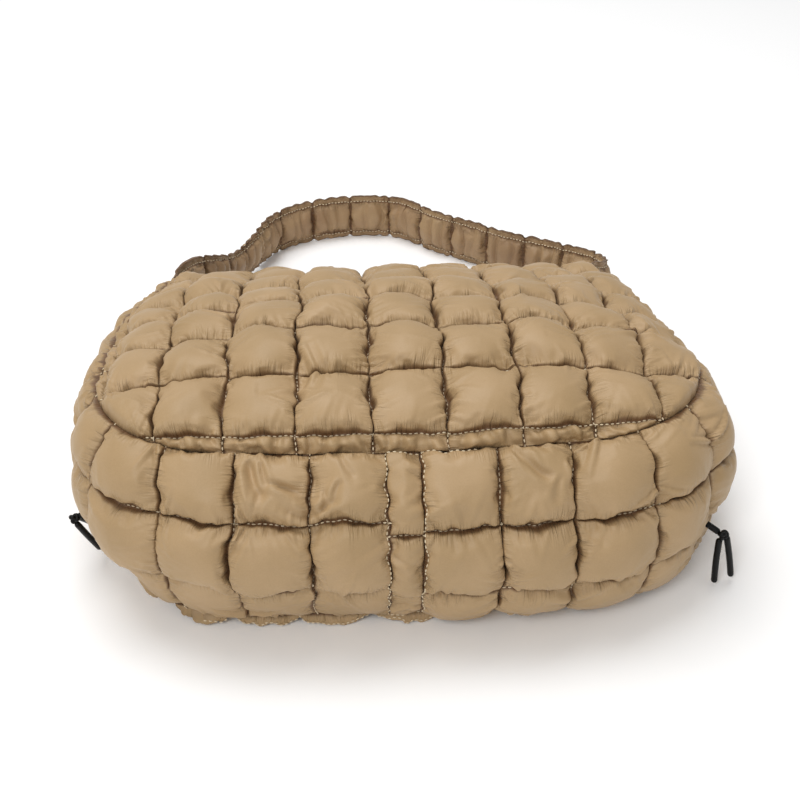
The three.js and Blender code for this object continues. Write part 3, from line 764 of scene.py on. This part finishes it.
# Long creases on single puffs, in cloth millimetres: start, end, bow, depth, width
creases = {
    "gusset_left_wall": [
        ((-113, 9), (-100, 36), 2, 6.1, 2.9), ((-104, 10), (-97, 28), 1, 3.4, 1.5),
        ((-98, 24), (-72, 33), -2, 4.2, 1.7), ((-92, 26), (-74, 25), 1, 2.7, 1.4),
        ((-67, 8), (-66, 25), 1, 2.8, 1.5), ((-59, 28), (-58, 44), -1.5, 2.8, 1.4),
        ((-48, 23), (-52, 41), 1, 3.2, 1.9), ((-47, 4), (-38, 22), 1, 2.3, 1.5),
    ],
    "gusset_right_wall": [
        ((79, 4), (104, 29), 3, 4.6, 2.1), ((117, 14), (125, 25), 1, 4.9, 1.9), ((109, 27), (106, 46), 1, 2.1, 2.2),
    ],
}

print("stage: front panel")
frontWall, frontCloth = makePanel("front_wall", panelLines["front"], frontPoint, facing=1, wander=2.8, seed=11)
print("stage: back panel")
backWall, backCloth = makePanel(
    "back_wall", panelLines["back"], backPoint, facing=-1, wander=1.5, seed=21, lip=lying["lip"]
)
print("stage: gusset")
leftWall, leftCloth = makeGusset("gusset_left_wall", "left", wander=2.4, seed=31)
rightWall, rightCloth = makeGusset("gusset_right_wall", "right", wander=2.4, seed=41)
bandWall, bandCloth = makeGusset("base_band_wall", "band", wander=0, seed=51)
for piece, node in [
    (frontWall, "front_panel"), (backWall, "back_panel"), (leftWall, "gusset_left"),
    (rightWall, "gusset_right"), (bandWall, "base_band"),
]:
    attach(piece, "root")
    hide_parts(node)

# The strap, standing on its edge behind the bag
strapMake = {
    "width": 54, "flange": 6, "flat": 2.2, "puff": 7.5, "cell": 49, "firstCell": 0.4, "drop": 277, "rise": 0.4,
    "gap": 1.2, "leastCell": 12, "alongStep": 1.7, "widthStep": 2.4, "root": 0.35, "slack": 0.06, "pressure": 18,
    # how deep the cross seams and the folds between them are cut in, and how the edges ruffle
    "seamCut": 0.88, "foldCut": 0.75, "cutWidth": 2.7, "scallop": 0.07, "ruffle": 1.1,
    "seamBend": 1.6, "foldBend": 2.5, "smallFolds": 0.6,
    "pinchAt": 140, "pinchReach": 60, "pinch": 0.45, "sag": 4, "flangePuff": 0.12,
}
# across, away, lift, lean
strapRoute = np.array([
    (-0.849, 0, 1, 0), (-0.841, 0.08, 1, 3), (-0.794, 0.2, 0.9, 8), (-0.714, 0.326, 0.69, 11),
    (-0.647, 0.488, 0.4, 11), (-0.579, 0.651, 0.18, 7), (-0.496, 0.831, 0.04, 4), (-0.377, 0.936, 0, 0),
    (-0.143, 1, 0, 0), (0.056, 0.997, 0, 0), (0.151, 0.958, 0, 0), (0.286, 0.831, 0, 0),
    (0.452, 0.716, 0, 0), (0.595, 0.618, 0, 0), (0.821, 0.496, 0.014, 0), (0.952, 0.38, 0.108, -2),
    (0.972, 0.236, 0.34, -4), (0.925, 0.117, 0.67, -4), (0.87, 0.045, 0.92, -2), (0.849, 0, 1, 0),
])


# A centripetal curve through points: many places on it, and the share of the points passed at each.
def curveThrough(points, perSpan=40):
    ends = np.concatenate([[2 * points[0] - points[1]], points, [2 * points[-1] - points[-2]]])
    places, passed = [], []
    for k in range(len(points) - 1):
        a, b, c, d = ends[k:k + 4]
        d0, d1, d2 = (max(1e-4, np.linalg.norm(q - p)) ** 0.5 for p, q in ((a, b), (b, c), (c, d)))
        t1 = ((b - a) / d0 - (c - a) / (d0 + d1) + (c - b) / d1) * d1
        t2 = ((c - b) / d1 - (d - b) / (d1 + d2) + (d - c) / d2) * d1
        u = np.linspace(0, 1, perSpan, endpoint=k == len(points) - 2)[:, None]
        held = (2 * u**3 - 3 * u**2 + 1) * b + (u**3 - 2 * u**2 + u) * t1
        places.append(held + (3 * u**2 - 2 * u**3) * c + (u**3 - u**2) * t2)
        passed.append(k + u[:, 0])
    return np.concatenate(places), np.concatenate(passed)


def makeStrap():
    mouthCorner = np.array([halfPanel]), np.array([cut["panelHeight"]])
    cornerFront, cornerBack = (pointAt(*mouthCorner)[0] for pointAt in (frontPoint, backPoint))
    cornerHeight = (cornerFront[2] + cornerBack[2]) / 2
    lowest = strapMake["rise"] + strapMake["width"] / 2
    route = np.stack([
        strapRoute[:, 0] * lying["bodyWidth"] / 2,
        cornerFront[1] + strapMake["gap"] + strapRoute[:, 1] * strapMake["drop"],
        lowest + (cornerHeight - lowest) * strapRoute[:, 2],
    ], axis=1)
    places, passed = curveThrough(route)
    run = np.concatenate([[0], np.cumsum(np.linalg.norm(np.diff(places, axis=0), axis=1))])
    length = run[-1]
    inner = strapMake["cell"] * (strapMake["firstCell"] + np.arange(1, length // strapMake["cell"]))
    seams = np.concatenate([[0], inner[inner < length - strapMake["leastCell"]], [length]])
    alongStops, alongOn = gridStops(seams, strapMake["alongStep"])
    middle = np.stack([np.interp(alongStops, run, places[:, k]) for k in range(3)], axis=1)
    leaning = np.radians(np.interp(np.interp(alongStops, run, passed), np.arange(len(strapRoute)), strapRoute[:, 3]))
    ahead = unit(np.gradient(middle, alongStops, axis=0))
    ahead[0], ahead[-1] = (0, 1, 0), (0, -1, 0)
    sideways = unit(np.cross(ahead, (0, 0, 1.0)))
    upright = np.cross(sideways, ahead)
    widthWay = upright * np.cos(leaning)[:, None] + sideways * np.sin(leaning)[:, None]
    thickWay = np.cross(ahead, widthWay)
    half = strapMake["width"] / 2
    widthLines = np.array([-half, strapMake["flange"] - half, half - strapMake["flange"], half])
    widthStops, widthOn = gridStops(widthLines, strapMake["widthStep"])
    root = np.clip(strapMake["root"] + np.minimum(alongStops, length - alongStops) / strapMake["cell"], 0, 1)
    around = len(widthStops)
    sheetX, sheetY = np.meshgrid(alongStops, widthStops, indexing="ij")
    padding = swell(widthLines, sheetY, filling["squareness"])
    flange = strapMake["flangePuff"] * swell(widthLines, sheetY, 0.5)
    puffed = swell(seams, sheetX, filling["squareness"]) * np.where(
        np.abs(sheetY) < half - strapMake["flange"], padding, flange
    )
    uneven = 1 + 0.2 * unevenness(71, sheetX, sheetY, 60)
    rings = []
    for side, ys in ((1, slice(None)), (-1, slice(None, None, -1))):
        thick = side * root[:, None] * (strapMake["flat"] + strapMake["puff"] * puffed * uneven)[:, ys]
        flatPlace = middle[:, None, :] + widthWay[:, None, :] * widthStops[ys][None, :, None]
        rings.append(flatPlace + thickWay[:, None, :] * thick[..., None])
    points = np.concatenate(rings, axis=1)
    count = 2 * around
    number = np.arange(points.shape[0] * count).reshape(points.shape[0], count)
    following = np.roll(number, -1, axis=1)
    quads = np.stack([number[:-1], following[:-1], following[1:], number[1:]], axis=-1).reshape(-1, 4)
    onWidth = np.concatenate([widthOn, widthOn[::-1]])
    pinned = (alongOn[:, None] | onWidth[None, :]).ravel()
    flat = points.reshape(-1, 3)
    v = np.tile(np.concatenate([widthStops, widthStops[::-1]]), len(middle))
    u = np.repeat(alongStops, count)
    outwards = unit(flat - np.repeat(middle, count, axis=0) - np.repeat(widthWay, count, axis=0) * v[:, None])
    a, b, _, d = (flat[corners] for corners in quads.T)
    signed = np.sum(np.cross(b - a, d - a) * outwards[quads[:, 0]])
    quads = quads if signed > 0 else quads[:, ::-1]
    placed = inflate("strap", flat, quads, pinned, 0 * flat, slack=strapMake["slack"], pressure=strapMake["pressure"])

    # the gathered look: deep cross seams, a fold or two between them, and scalloped, ruffled edges
    centre, tall, thick = (np.repeat(way, count, axis=0) for way in (middle, widthWay, thickWay))
    away = placed - centre
    upPart, outPart = np.sum(away * tall, axis=1), np.sum(away * thick, axis=1)
    alongPart = away - tall * upPart[:, None] - thick * outPart[:, None]
    maker = np.random.default_rng(83)
    seamCut, foldCut = 0 * u, 0 * u
    face = np.sign(outPart)
    for k, place in enumerate(seams[1:-1]):
        bend = strapMake["seamBend"] * unevenness(90 + k, v, 0 * v, 30)
        seamCut = np.maximum(seamCut, np.exp(-((u - place - bend) / strapMake["cutWidth"]) ** 2))
        for share in (maker.uniform(0.28, 0.45), maker.uniform(0.6, 0.78)):
            bend = strapMake["foldBend"] * unevenness(int(maker.integers(200, 900)), v, 20 * face, 35)
            deep = maker.uniform(0.35, 1)
            fold = np.exp(-((u - place - share * strapMake["cell"] - bend) / strapMake["cutWidth"]) ** 2)
            foldCut = np.maximum(foldCut, deep * fold)
    outPart = outPart * (1 - strapMake["seamCut"] * seamCut) * (1 - strapMake["foldCut"] * foldCut)
    nearEdge = np.clip((np.abs(v) - half + 2 * strapMake["flange"]) / strapMake["flange"], 0, 1)
    outPart = outPart + strapMake["ruffle"] * nearEdge * unevenness(84, u, 0 * u + 40 * np.sign(v), 13)
    scallop = strapMake["scallop"] * (seamCut + 0.6 * foldCut + 0.2 * unevenness(85, u, 30 * np.sign(v), 17))
    gathered = strapMake["pinch"] * np.exp(-((u - strapMake["pinchAt"]) / strapMake["pinchReach"]) ** 2)
    upPart = upPart * (1 - scallop - np.where(v > 0, gathered, 0))
    placed = centre + tall * upPart[:, None] + thick * outPart[:, None] + alongPart
    placed[:, 2] -= strapMake["sag"] * gathered / strapMake["pinch"]
    small = gathers(81, seams, u, v) + 0.6 * gathers(82, widthLines, v, u)
    placed = placed + outwards * (strapMake["smallFolds"] * small * np.where(pinned, 0, 1))[:, None]
    placed[:, 2] = np.maximum(0.3, placed[:, 2])
    caps = []
    for first, turn in ((0, 1), ((len(middle) - 1) * count, -1)):
        for j in range(around - 1):
            quad = [first + j, first + j + 1, first + count - 2 - j, first + count - 1 - j]
            caps.append(quad[::turn] if signed < 0 else quad[::-turn])
    strap = newObject("shoulder_strap", placed, [tuple(q) for q in quads] + caps)
    mapCloth(strap, seams, widthLines, u, v)
    strap.data.shade_smooth()
    grid = placed.reshape(len(middle), count, 3)
    normals = outwards.reshape(len(middle), count, 3)
    return strap, grid, normals, onWidth


print("stage: strap")
strap, strapGrid, strapNormals, strapRows = makeStrap()
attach(strap, "root")
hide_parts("strap")

# Topstitching on every quilting line, and beside some seams
stitch = {
    "pitch": 4.1, "length": 2.8, "thread": 1.15, "above": 0.4, "besideSeam": 1.7, "besideTop": 2.2, "besideBase": 6,
    "clearOfEnd": 2, "clearOfBase": 4, "topRun": 40,
    "lip": {"row": 3.1, "from": -170, "to": 60, "out": (0, -1.4, 1.1)},
}


# One thread stitch on each pitch of every line that it is given, laid along the line.
def stitchTree(material):
    tree = bpy.data.node_groups.new("topstitching", "GeometryNodeTree")
    tree.is_modifier = True
    face = tree.interface
    face.new_socket("Geometry", in_out="INPUT", socket_type="NodeSocketGeometry")
    for label, value in (("Pitch", stitch["pitch"]), ("Length", stitch["length"]), ("Thread", stitch["thread"])):
        made = face.new_socket(label, in_out="INPUT", socket_type="NodeSocketFloat")
        made.default_value = value * mm
    face.new_socket("Geometry", in_out="OUTPUT", socket_type="NodeSocketGeometry")
    start = addNode(tree, "NodeGroupInput")
    toCurve = addNode(tree, "GeometryNodeMeshToCurve", {}, {0: (start, "Geometry")})
    places = addNode(
        tree, "GeometryNodeCurveToPoints", {"mode": "LENGTH"}, {"Curve": (toCurve, 0), "Length": (start, "Pitch")}
    )
    thread = addNode(tree, "GeometryNodeMeshUVSphere", {}, {"Segments": 6, "Rings": 4, "Radius": 0.5})
    turned = addNode(
        tree, "FunctionNodeAlignRotationToVector", {"axis": "Z"}, {"Vector": (places, "Tangent")}
    )
    size = addNode(
        tree, "ShaderNodeCombineXYZ", {}, {"X": (start, "Thread"), "Y": (start, "Thread"), "Z": (start, "Length")}
    )
    laid = addNode(
        tree, "GeometryNodeInstanceOnPoints", {},
        {"Points": (places, "Points"), "Instance": (thread, "Mesh"), "Rotation": (turned, 0), "Scale": (size, 0)},
    )
    real = addNode(tree, "GeometryNodeRealizeInstances", {}, {0: (laid, 0)})
    finish = addNode(tree, "GeometryNodeSetMaterial", {}, {"Geometry": (real, 0)})
    finish.inputs["Material"].default_value = material
    end = addNode(tree, "NodeGroupOutput")
    tree.links.new(finish.outputs[0], end.inputs[0])
    return tree


# Adds a node, sets it, and feeds its inputs with values or with (node, output) pairs.
def addNode(tree, kind, settings=None, feeds=None):
    node = tree.nodes.new(kind)
    for label, value in (settings or {}).items():
        setattr(node, label, value)
    for label, value in (feeds or {}).items():
        if isinstance(value, tuple) and isinstance(value[0], bpy.types.Node):
            tree.links.new(value[0].outputs[value[1]], node.inputs[label])
        else:
            node.inputs[label].default_value = value
    return node


def linear(code):
    parts = [int(code[k:k + 2], 16) / 255 for k in (1, 3, 5)]
    return tuple((p / 12.92 if p <= 0.04045 else ((p + 0.055) / 1.055) ** 2.4) for p in parts) + (1,)


# A new material with its shader's own sockets set
def startMaterial(name, sockets):
    material = bpy.data.materials.new(name)
    material.use_nodes = True
    shader = material.node_tree.nodes["Principled BSDF"]
    for label, value in sockets.items():
        shader.inputs[label].default_value = value
    return material, material.node_tree, shader


# Colours that a noise runs between
def colourRamp(tree, feed, dark, light, low=0, high=1):
    ramp = addNode(tree, "ShaderNodeValToRGB", {}, {"Fac": feed})
    for element, place, code in zip(ramp.color_ramp.elements, (low, high), (dark, light)):
        element.position, element.color = place, linear(code)
    return ramp


# Patches of about 45 mm and specks of 1 mm are given per metre, the pace of the gathers in waves per cell,
# and their reach and the painted shade beside a quilting line in cells.
taffeta = {
    # seamShade is painted shade: the colour the cloth is drawn in beside a quilting line, for the shade in the seam
    "shell": ("#B0936D", "#A48861"), "strap": ("#A88B66", "#947657"), "seamShade": "#6C4D30", "sheen": "#E8D8BC",
    "patches": 22.0, "specks": 900.0, "speckShare": 0.35, "darkAt": 0.45, "lightAt": 0.9,
    "pace": 8.5, "groupPace": 1.7, "shortest": 0.09, "longest": 0.33, "crisp": 4.5,
    "gatherHeight": 1.8, "gatherStrength": 0.95, "shadeFrom": 0.012, "shadeTo": 0.056,
    "threadStep": 0.9, "weaveHeight": 0.2, "weaveStrength": 0.12,
}


# Fine plain-woven nylon with a soft satin finish: even colour, a broad soft shine on each puff,
# short gathers that run into every seam, and painted shade that darkens the cloth beside every quilting line.
def nylonTaffeta(name, light, dark):
    material, tree, shader = startMaterial(name, {
        "Roughness": 0.5, "IOR": 1.45, "Specular IOR Level": 0.5,
        "Sheen Weight": 0.1, "Sheen Roughness": 0.4, "Sheen Tint": linear(taffeta["sheen"]),
    })
    place = addNode(tree, "ShaderNodeTexCoord")
    patches, speckle = (
        addNode(tree, "ShaderNodeTexNoise", {}, {"Vector": (place, "Object"), "Scale": scale, "Detail": detail})
        for scale, detail in ((taffeta["patches"], 3.0), (taffeta["specks"], 1.0))
    )
    spread = addNode(
        tree, "ShaderNodeMath", {"operation": "MULTIPLY_ADD"},
        {0: (speckle, "Fac"), 1: taffeta["speckShare"], 2: (patches, "Fac")},
    )
    ramp = colourRamp(tree, (spread, 0), dark, light, taffeta["darkAt"], taffeta["lightAt"])
    cloth = addNode(tree, "ShaderNodeUVMap", {"uv_map": "cloth"})
    apart = addNode(tree, "ShaderNodeSeparateXYZ", {}, {"Vector": (cloth, "UV")})
    sheet = addNode(tree, "ShaderNodeUVMap", {"uv_map": "sheet"})
    lengths = addNode(tree, "ShaderNodeSeparateXYZ", {}, {"Vector": (sheet, "UV")})
    bumps, seamShadeMasks = [], []
    for own, other, seed in (("X", "Y", 3.1), ("Y", "X", 8.7)):
        # distance to the nearest quilting line, in cells, and waves along it
        ping = addNode(tree, "ShaderNodeMath", {"operation": "PINGPONG"}, {0: (apart, own), 1: 0.5})
        lineNumber = addNode(tree, "ShaderNodeMath", {"operation": "ROUND"}, {0: (apart, own)})
        pace = addNode(tree, "ShaderNodeMath", {"operation": "MULTIPLY"}, {0: (lengths, other), 1: taffeta["pace"]})
        shift = addNode(tree, "ShaderNodeMath", {"operation": "MULTIPLY_ADD"}, {0: (lineNumber, 0), 1: 17.3, 2: seed})
        where = addNode(tree, "ShaderNodeCombineXYZ", {}, {"X": (pace, 0), "Y": (shift, 0), "Z": (ping, 0)})
        waves = addNode(
            tree, "ShaderNodeTexNoise", {}, {"Vector": (where, 0), "Scale": 1.0, "Detail": 3.0, "Distortion": 0.7}
        )
        level = addNode(tree, "ShaderNodeMath", {"operation": "SUBTRACT"}, {0: (waves, "Fac"), 1: 0.5})
        narrow = addNode(tree, "ShaderNodeMath", {"operation": "ABSOLUTE"}, {0: (level, 0)})
        valleys = addNode(
            tree, "ShaderNodeMath", {"operation": "MULTIPLY", "use_clamp": True},
            {0: (narrow, 0), 1: taffeta["crisp"]},
        )
        # the gathers come in groups along a seam, some short and some longer
        slow = addNode(
            tree, "ShaderNodeMath", {"operation": "MULTIPLY"}, {0: (lengths, other), 1: taffeta["groupPace"]}
        )
        slowWhere = addNode(tree, "ShaderNodeCombineXYZ", {}, {"X": (slow, 0), "Y": (shift, 0)})
        grouping = addNode(tree, "ShaderNodeTexNoise", {}, {"Vector": (slowWhere, 0), "Scale": 1.0, "Detail": 1.0})
        reach = addNode(
            tree, "ShaderNodeMapRange", {},
            {
                "Value": (grouping, "Fac"), "From Min": 0.35, "From Max": 0.65,
                "To Min": taffeta["shortest"], "To Max": taffeta["longest"],
            },
        )
        near = addNode(
            tree, "ShaderNodeMapRange", {"interpolation_type": "SMOOTHSTEP"},
            {"Value": (ping, 0), "From Min": 0.015, "From Max": (reach, 0), "To Min": 1.0, "To Max": 0.0},
        )
        bumps.append(addNode(tree, "ShaderNodeMath", {"operation": "MULTIPLY"}, {0: (valleys, 0), 1: (near, 0)}))
        seamShadeMasks.append(addNode(
            tree, "ShaderNodeMapRange", {"interpolation_type": "SMOOTHSTEP"},
            {
                "Value": (ping, 0), "From Min": taffeta["shadeFrom"], "From Max": taffeta["shadeTo"],
                "To Min": 1.0, "To Max": 0.0,
            },
        ))
    # painted shade: cloth beside every quilting line is drawn darker and redder, standing in for the shade that falls
    # into the seam
    seamShadeMask = addNode(tree, "ShaderNodeMath", {"operation": "MAXIMUM"}, {0: (seamShadeMasks[0], 0), 1: (seamShadeMasks[1], 0)})
    shaded = addNode(
        tree, "ShaderNodeMix", {"data_type": "RGBA"},
        {0: (seamShadeMask, 0), 6: (ramp, "Color"), 7: linear(taffeta["seamShade"])},
    )
    tree.links.new(shaded.outputs[2], shader.inputs["Base Color"])
    gatherHeight = addNode(tree, "ShaderNodeMath", {"operation": "ADD"}, {0: (bumps[0], 0), 1: (bumps[1], 0)})
    gathered = addNode(tree, "ShaderNodeBump", {}, {
        "Height": (gatherHeight, 0), "Strength": taffeta["gatherStrength"],
        "Distance": taffeta["gatherHeight"] * mm,
    })
    # threads are 0.1 mm apart in real taffeta, and drawn coarser so that they show
    weave = addNode(tree, "ShaderNodeTexNoise", {}, {
        "Vector": (place, "Object"), "Scale": 1 / (taffeta["threadStep"] * mm), "Detail": 1.0,
    })
    woven = addNode(tree, "ShaderNodeBump", {}, {
        "Height": (weave, "Fac"), "Strength": taffeta["weaveStrength"],
        "Distance": taffeta["weaveHeight"] * mm, "Normal": (gathered, "Normal"),
    })
    tree.links.new(woven.outputs["Normal"], shader.inputs["Normal"])
    return material


# Spun polyester thread: matt, a shade lighter than the cloth, with fibres of about 1.4 mm.
thread = {"dark": "#C6AF88", "light": "#ECDFC4", "fibres": 700.0, "roughness": 0.7}


def spunThread():
    material, tree, shader = startMaterial("spun polyester thread", {"Roughness": thread["roughness"]})
    place = addNode(tree, "ShaderNodeTexCoord")
    fuzz = addNode(tree, "ShaderNodeTexNoise", {}, {"Vector": (place, "Object"), "Scale": thread["fibres"]})
    ramp = colourRamp(tree, (fuzz, "Fac"), thread["dark"], thread["light"])
    tree.links.new(ramp.outputs["Color"], shader.inputs["Base Color"])
    return material


# Black round cord with a smooth, slightly shiny coat, whose braid shows through in bumps of about 2 mm.
cordCoat = {"colour": "#060606", "braid": 500.0, "braidHeight": 0.15, "roughness": 0.4, "specular": 0.2}


def coatedCord():
    material, tree, shader = startMaterial("coated black cord", {
        "Base Color": linear(cordCoat["colour"]), "Roughness": cordCoat["roughness"],
        "Specular IOR Level": cordCoat["specular"],
    })
    place = addNode(tree, "ShaderNodeTexCoord")
    grain = addNode(tree, "ShaderNodeTexNoise", {}, {"Vector": (place, "Object"), "Scale": cordCoat["braid"]})
    bump = addNode(tree, "ShaderNodeBump", {}, {
        "Height": (grain, "Fac"), "Strength": 0.2, "Distance": cordCoat["braidHeight"] * mm,
    })
    tree.links.new(bump.outputs["Normal"], shader.inputs["Normal"])
    return material


print("stage: materials")
shellCloth = nylonTaffeta("nylon taffeta tan", *taffeta["shell"])
# the strap is the shell's own cloth, drawn in darker colours as painted shade for the bag's shadow on it
shadedStrapCloth = nylonTaffeta("nylon taffeta tan strap in painted shade", *taffeta["strap"])
threadFinish = spunThread()
cordFinish = coatedCord()
for piece in (frontWall, backWall, leftWall, rightWall, bandWall):
    piece.data.materials.append(shellCloth)
strap.data.materials.append(shadedStrapCloth)
for piece in cords:
    piece.data.materials.append(cordFinish)


# Lines of cloth points to sew along: each quilting line of a wall, as runs of neighbours on the grid.
def sewnLines(cloth, acrossLines, upLines):
    x, y, outer, normals = cloth["x"], cloth["y"], cloth["outer"], cloth["normals"]
    lines = []
    for own, other, values in ((x, y, acrossLines[1:-1]), (y, x, upLines[1:-1])):
        for value in values:
            on = np.flatnonzero(np.abs(own - value) < sameSpot)
            on = on[np.argsort(other[on])]
            lines.append(outer[on] + normals[on] * stitch["above"])
    return lines


# A row of topstitching beside a seam, along one column or row of the cloth
def topstitched(cloth, way, value, low, high, facing=None):
    across, along = (cloth["x"], cloth["y"]) if way == "up" else (cloth["y"], cloth["x"])
    stop = across[np.abs(across - value).argmin()]
    on = np.flatnonzero((np.abs(across - stop) < sameSpot) & (along >= low) & (along <= high))
    on = on[np.argsort(along[on])]
    return cloth["outer"][on] + (cloth["normals"][on] if facing is None else facing) * stitch["above"]


def sew(name, lines):
    points, edges, start = [], [], 0
    for line in lines:
        points.append(line)
        edges += [(start + k, start + k + 1) for k in range(len(line) - 1)]
        start += len(line)
    points = np.concatenate(points)
    mesh = bpy.data.meshes.new(name + "_lines")
    mesh.from_pydata((points * mm).tolist(), edges, [])
    route = bpy.data.objects.new(name + "_lines", mesh)
    scene.collection.objects.link(route)
    modifier = route.modifiers.new("stitches", "NODES")
    modifier.node_group = stitchNodes
    for item in stitchNodes.interface.items_tree:
        if item.in_out == "INPUT" and item.socket_type == "NodeSocketFloat":
            modifier[item.identifier] = stitch[item.name.lower()] * mm
    sewn = bpy.data.meshes.new_from_object(route.evaluated_get(bpy.context.evaluated_depsgraph_get()))
    bpy.data.objects.remove(route)
    piece = bpy.data.objects.new(name, sewn)
    scene.collection.objects.link(piece)
    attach(piece, "root")
    return piece


print("stage: stitches")
stitchNodes = stitchTree(threadFinish)
seams = {
    "front_stitches": sewnLines(frontCloth, panelLines["front"], panelLines["up"]),
    "back_stitches": sewnLines(backCloth, panelLines["back"], panelLines["up"]),
    "gusset_left_stitches": sewnLines(leftCloth, gussetColumns["left"], gussetRows("left")),
    "gusset_right_stitches": sewnLines(rightCloth, gussetColumns["right"], gussetRows("right")),
    "base_band_stitches": sewnLines(bandCloth, gussetColumns["band"], gussetRows("band")),
}
clear, low = stitch["clearOfEnd"], cut["gussetWidth"] - stitch["clearOfBase"]
besideSeam, besideTop = stitch["besideSeam"], stitch["besideTop"]
besideBase = cut["gussetWidth"] - stitch["besideBase"]
bandFrom, bandTo = bandEdges
# name, cloth, way, where the row lies, and where it starts and ends
for name, cloth, way, value, begins, ends in (
    ("gusset_left_stitches", leftCloth, "up", bandFrom - besideSeam, clear, low),
    ("gusset_right_stitches", rightCloth, "up", bandTo + besideSeam, clear, low),
    ("gusset_right_stitches", rightCloth, "along", besideTop, bandTo + clear, bandTo + stitch["topRun"]),
    ("base_band_stitches", bandCloth, "along", besideTop, bandFrom + clear, bandTo - clear),
    ("base_band_stitches", bandCloth, "along", besideBase, bandFrom + clear, bandTo - clear),
):
    seams[name].append(topstitched(cloth, way, value, begins, ends))
# the lip's row shows from above, so its stitches stand on the side that faces up
lipRow = stitch["lip"]
seams["back_stitches"].append(
    topstitched(backCloth, "along", lipRow["row"], lipRow["from"], lipRow["to"], facing=np.array(lipRow["out"]))
)
# the strap's rows beside its flanges, not the ones on its edges
halfRound = strapGrid.shape[1] // 2
seams["strap_stitches"] = [
    strapGrid[:, j] + strapNormals[:, j] * stitch["above"]
    for j in np.flatnonzero(strapRows) if 2 < j % halfRound < halfRound - 3
]
for name, lines in seams.items():
    sewn = sew(name, lines)

print("stage: studio")
studio = {
    "floor": "#FFFFFF", "floorSide": 6, "floorBack": 12, "world": 0.5,
    "top": {"place": (-0.6, 0.8, 3.3), "size": 2.2, "power": 64},
    "front": {"place": (-1.5, -2.8, 3.2), "size": 1.3, "power": 59},
}
floorMesh = bpy.data.meshes.new("floor")
wide, deep = studio["floorSide"], studio["floorBack"]
floorMesh.from_pydata([(-wide, -wide, 0), (wide, -wide, 0), (wide, deep, 0), (-wide, deep, 0)], [], [(0, 1, 2, 3)])
floor = bpy.data.objects.new("floor", floorMesh)
scene.collection.objects.link(floor)
paper, _, _ = startMaterial(
    "matt white paper", {"Base Color": linear(studio["floor"]), "Roughness": 0.9, "Specular IOR Level": 0.1}
)
floorMesh.materials.append(paper)
world = bpy.data.worlds.new("studio")
scene.world = world
world.use_nodes = True
world.node_tree.nodes["Background"].inputs["Color"].default_value = (1, 1, 1, 1)
world.node_tree.nodes["Background"].inputs["Strength"].default_value = studio["world"]

# two softboxes, both aimed at the bag
for name in ("top", "front"):
    lamp = bpy.data.objects.new(name, bpy.data.lights.new(name, "AREA"))
    scene.collection.objects.link(lamp)
    lamp.data.size = studio[name]["size"]
    lamp.data.energy = studio[name]["power"]
    lamp.location = studio[name]["place"]
    lamp.rotation_euler = (-Vector(studio[name]["place"])).to_track_quat("-Z", "Y").to_euler()
scene.view_settings.view_transform = "Standard"
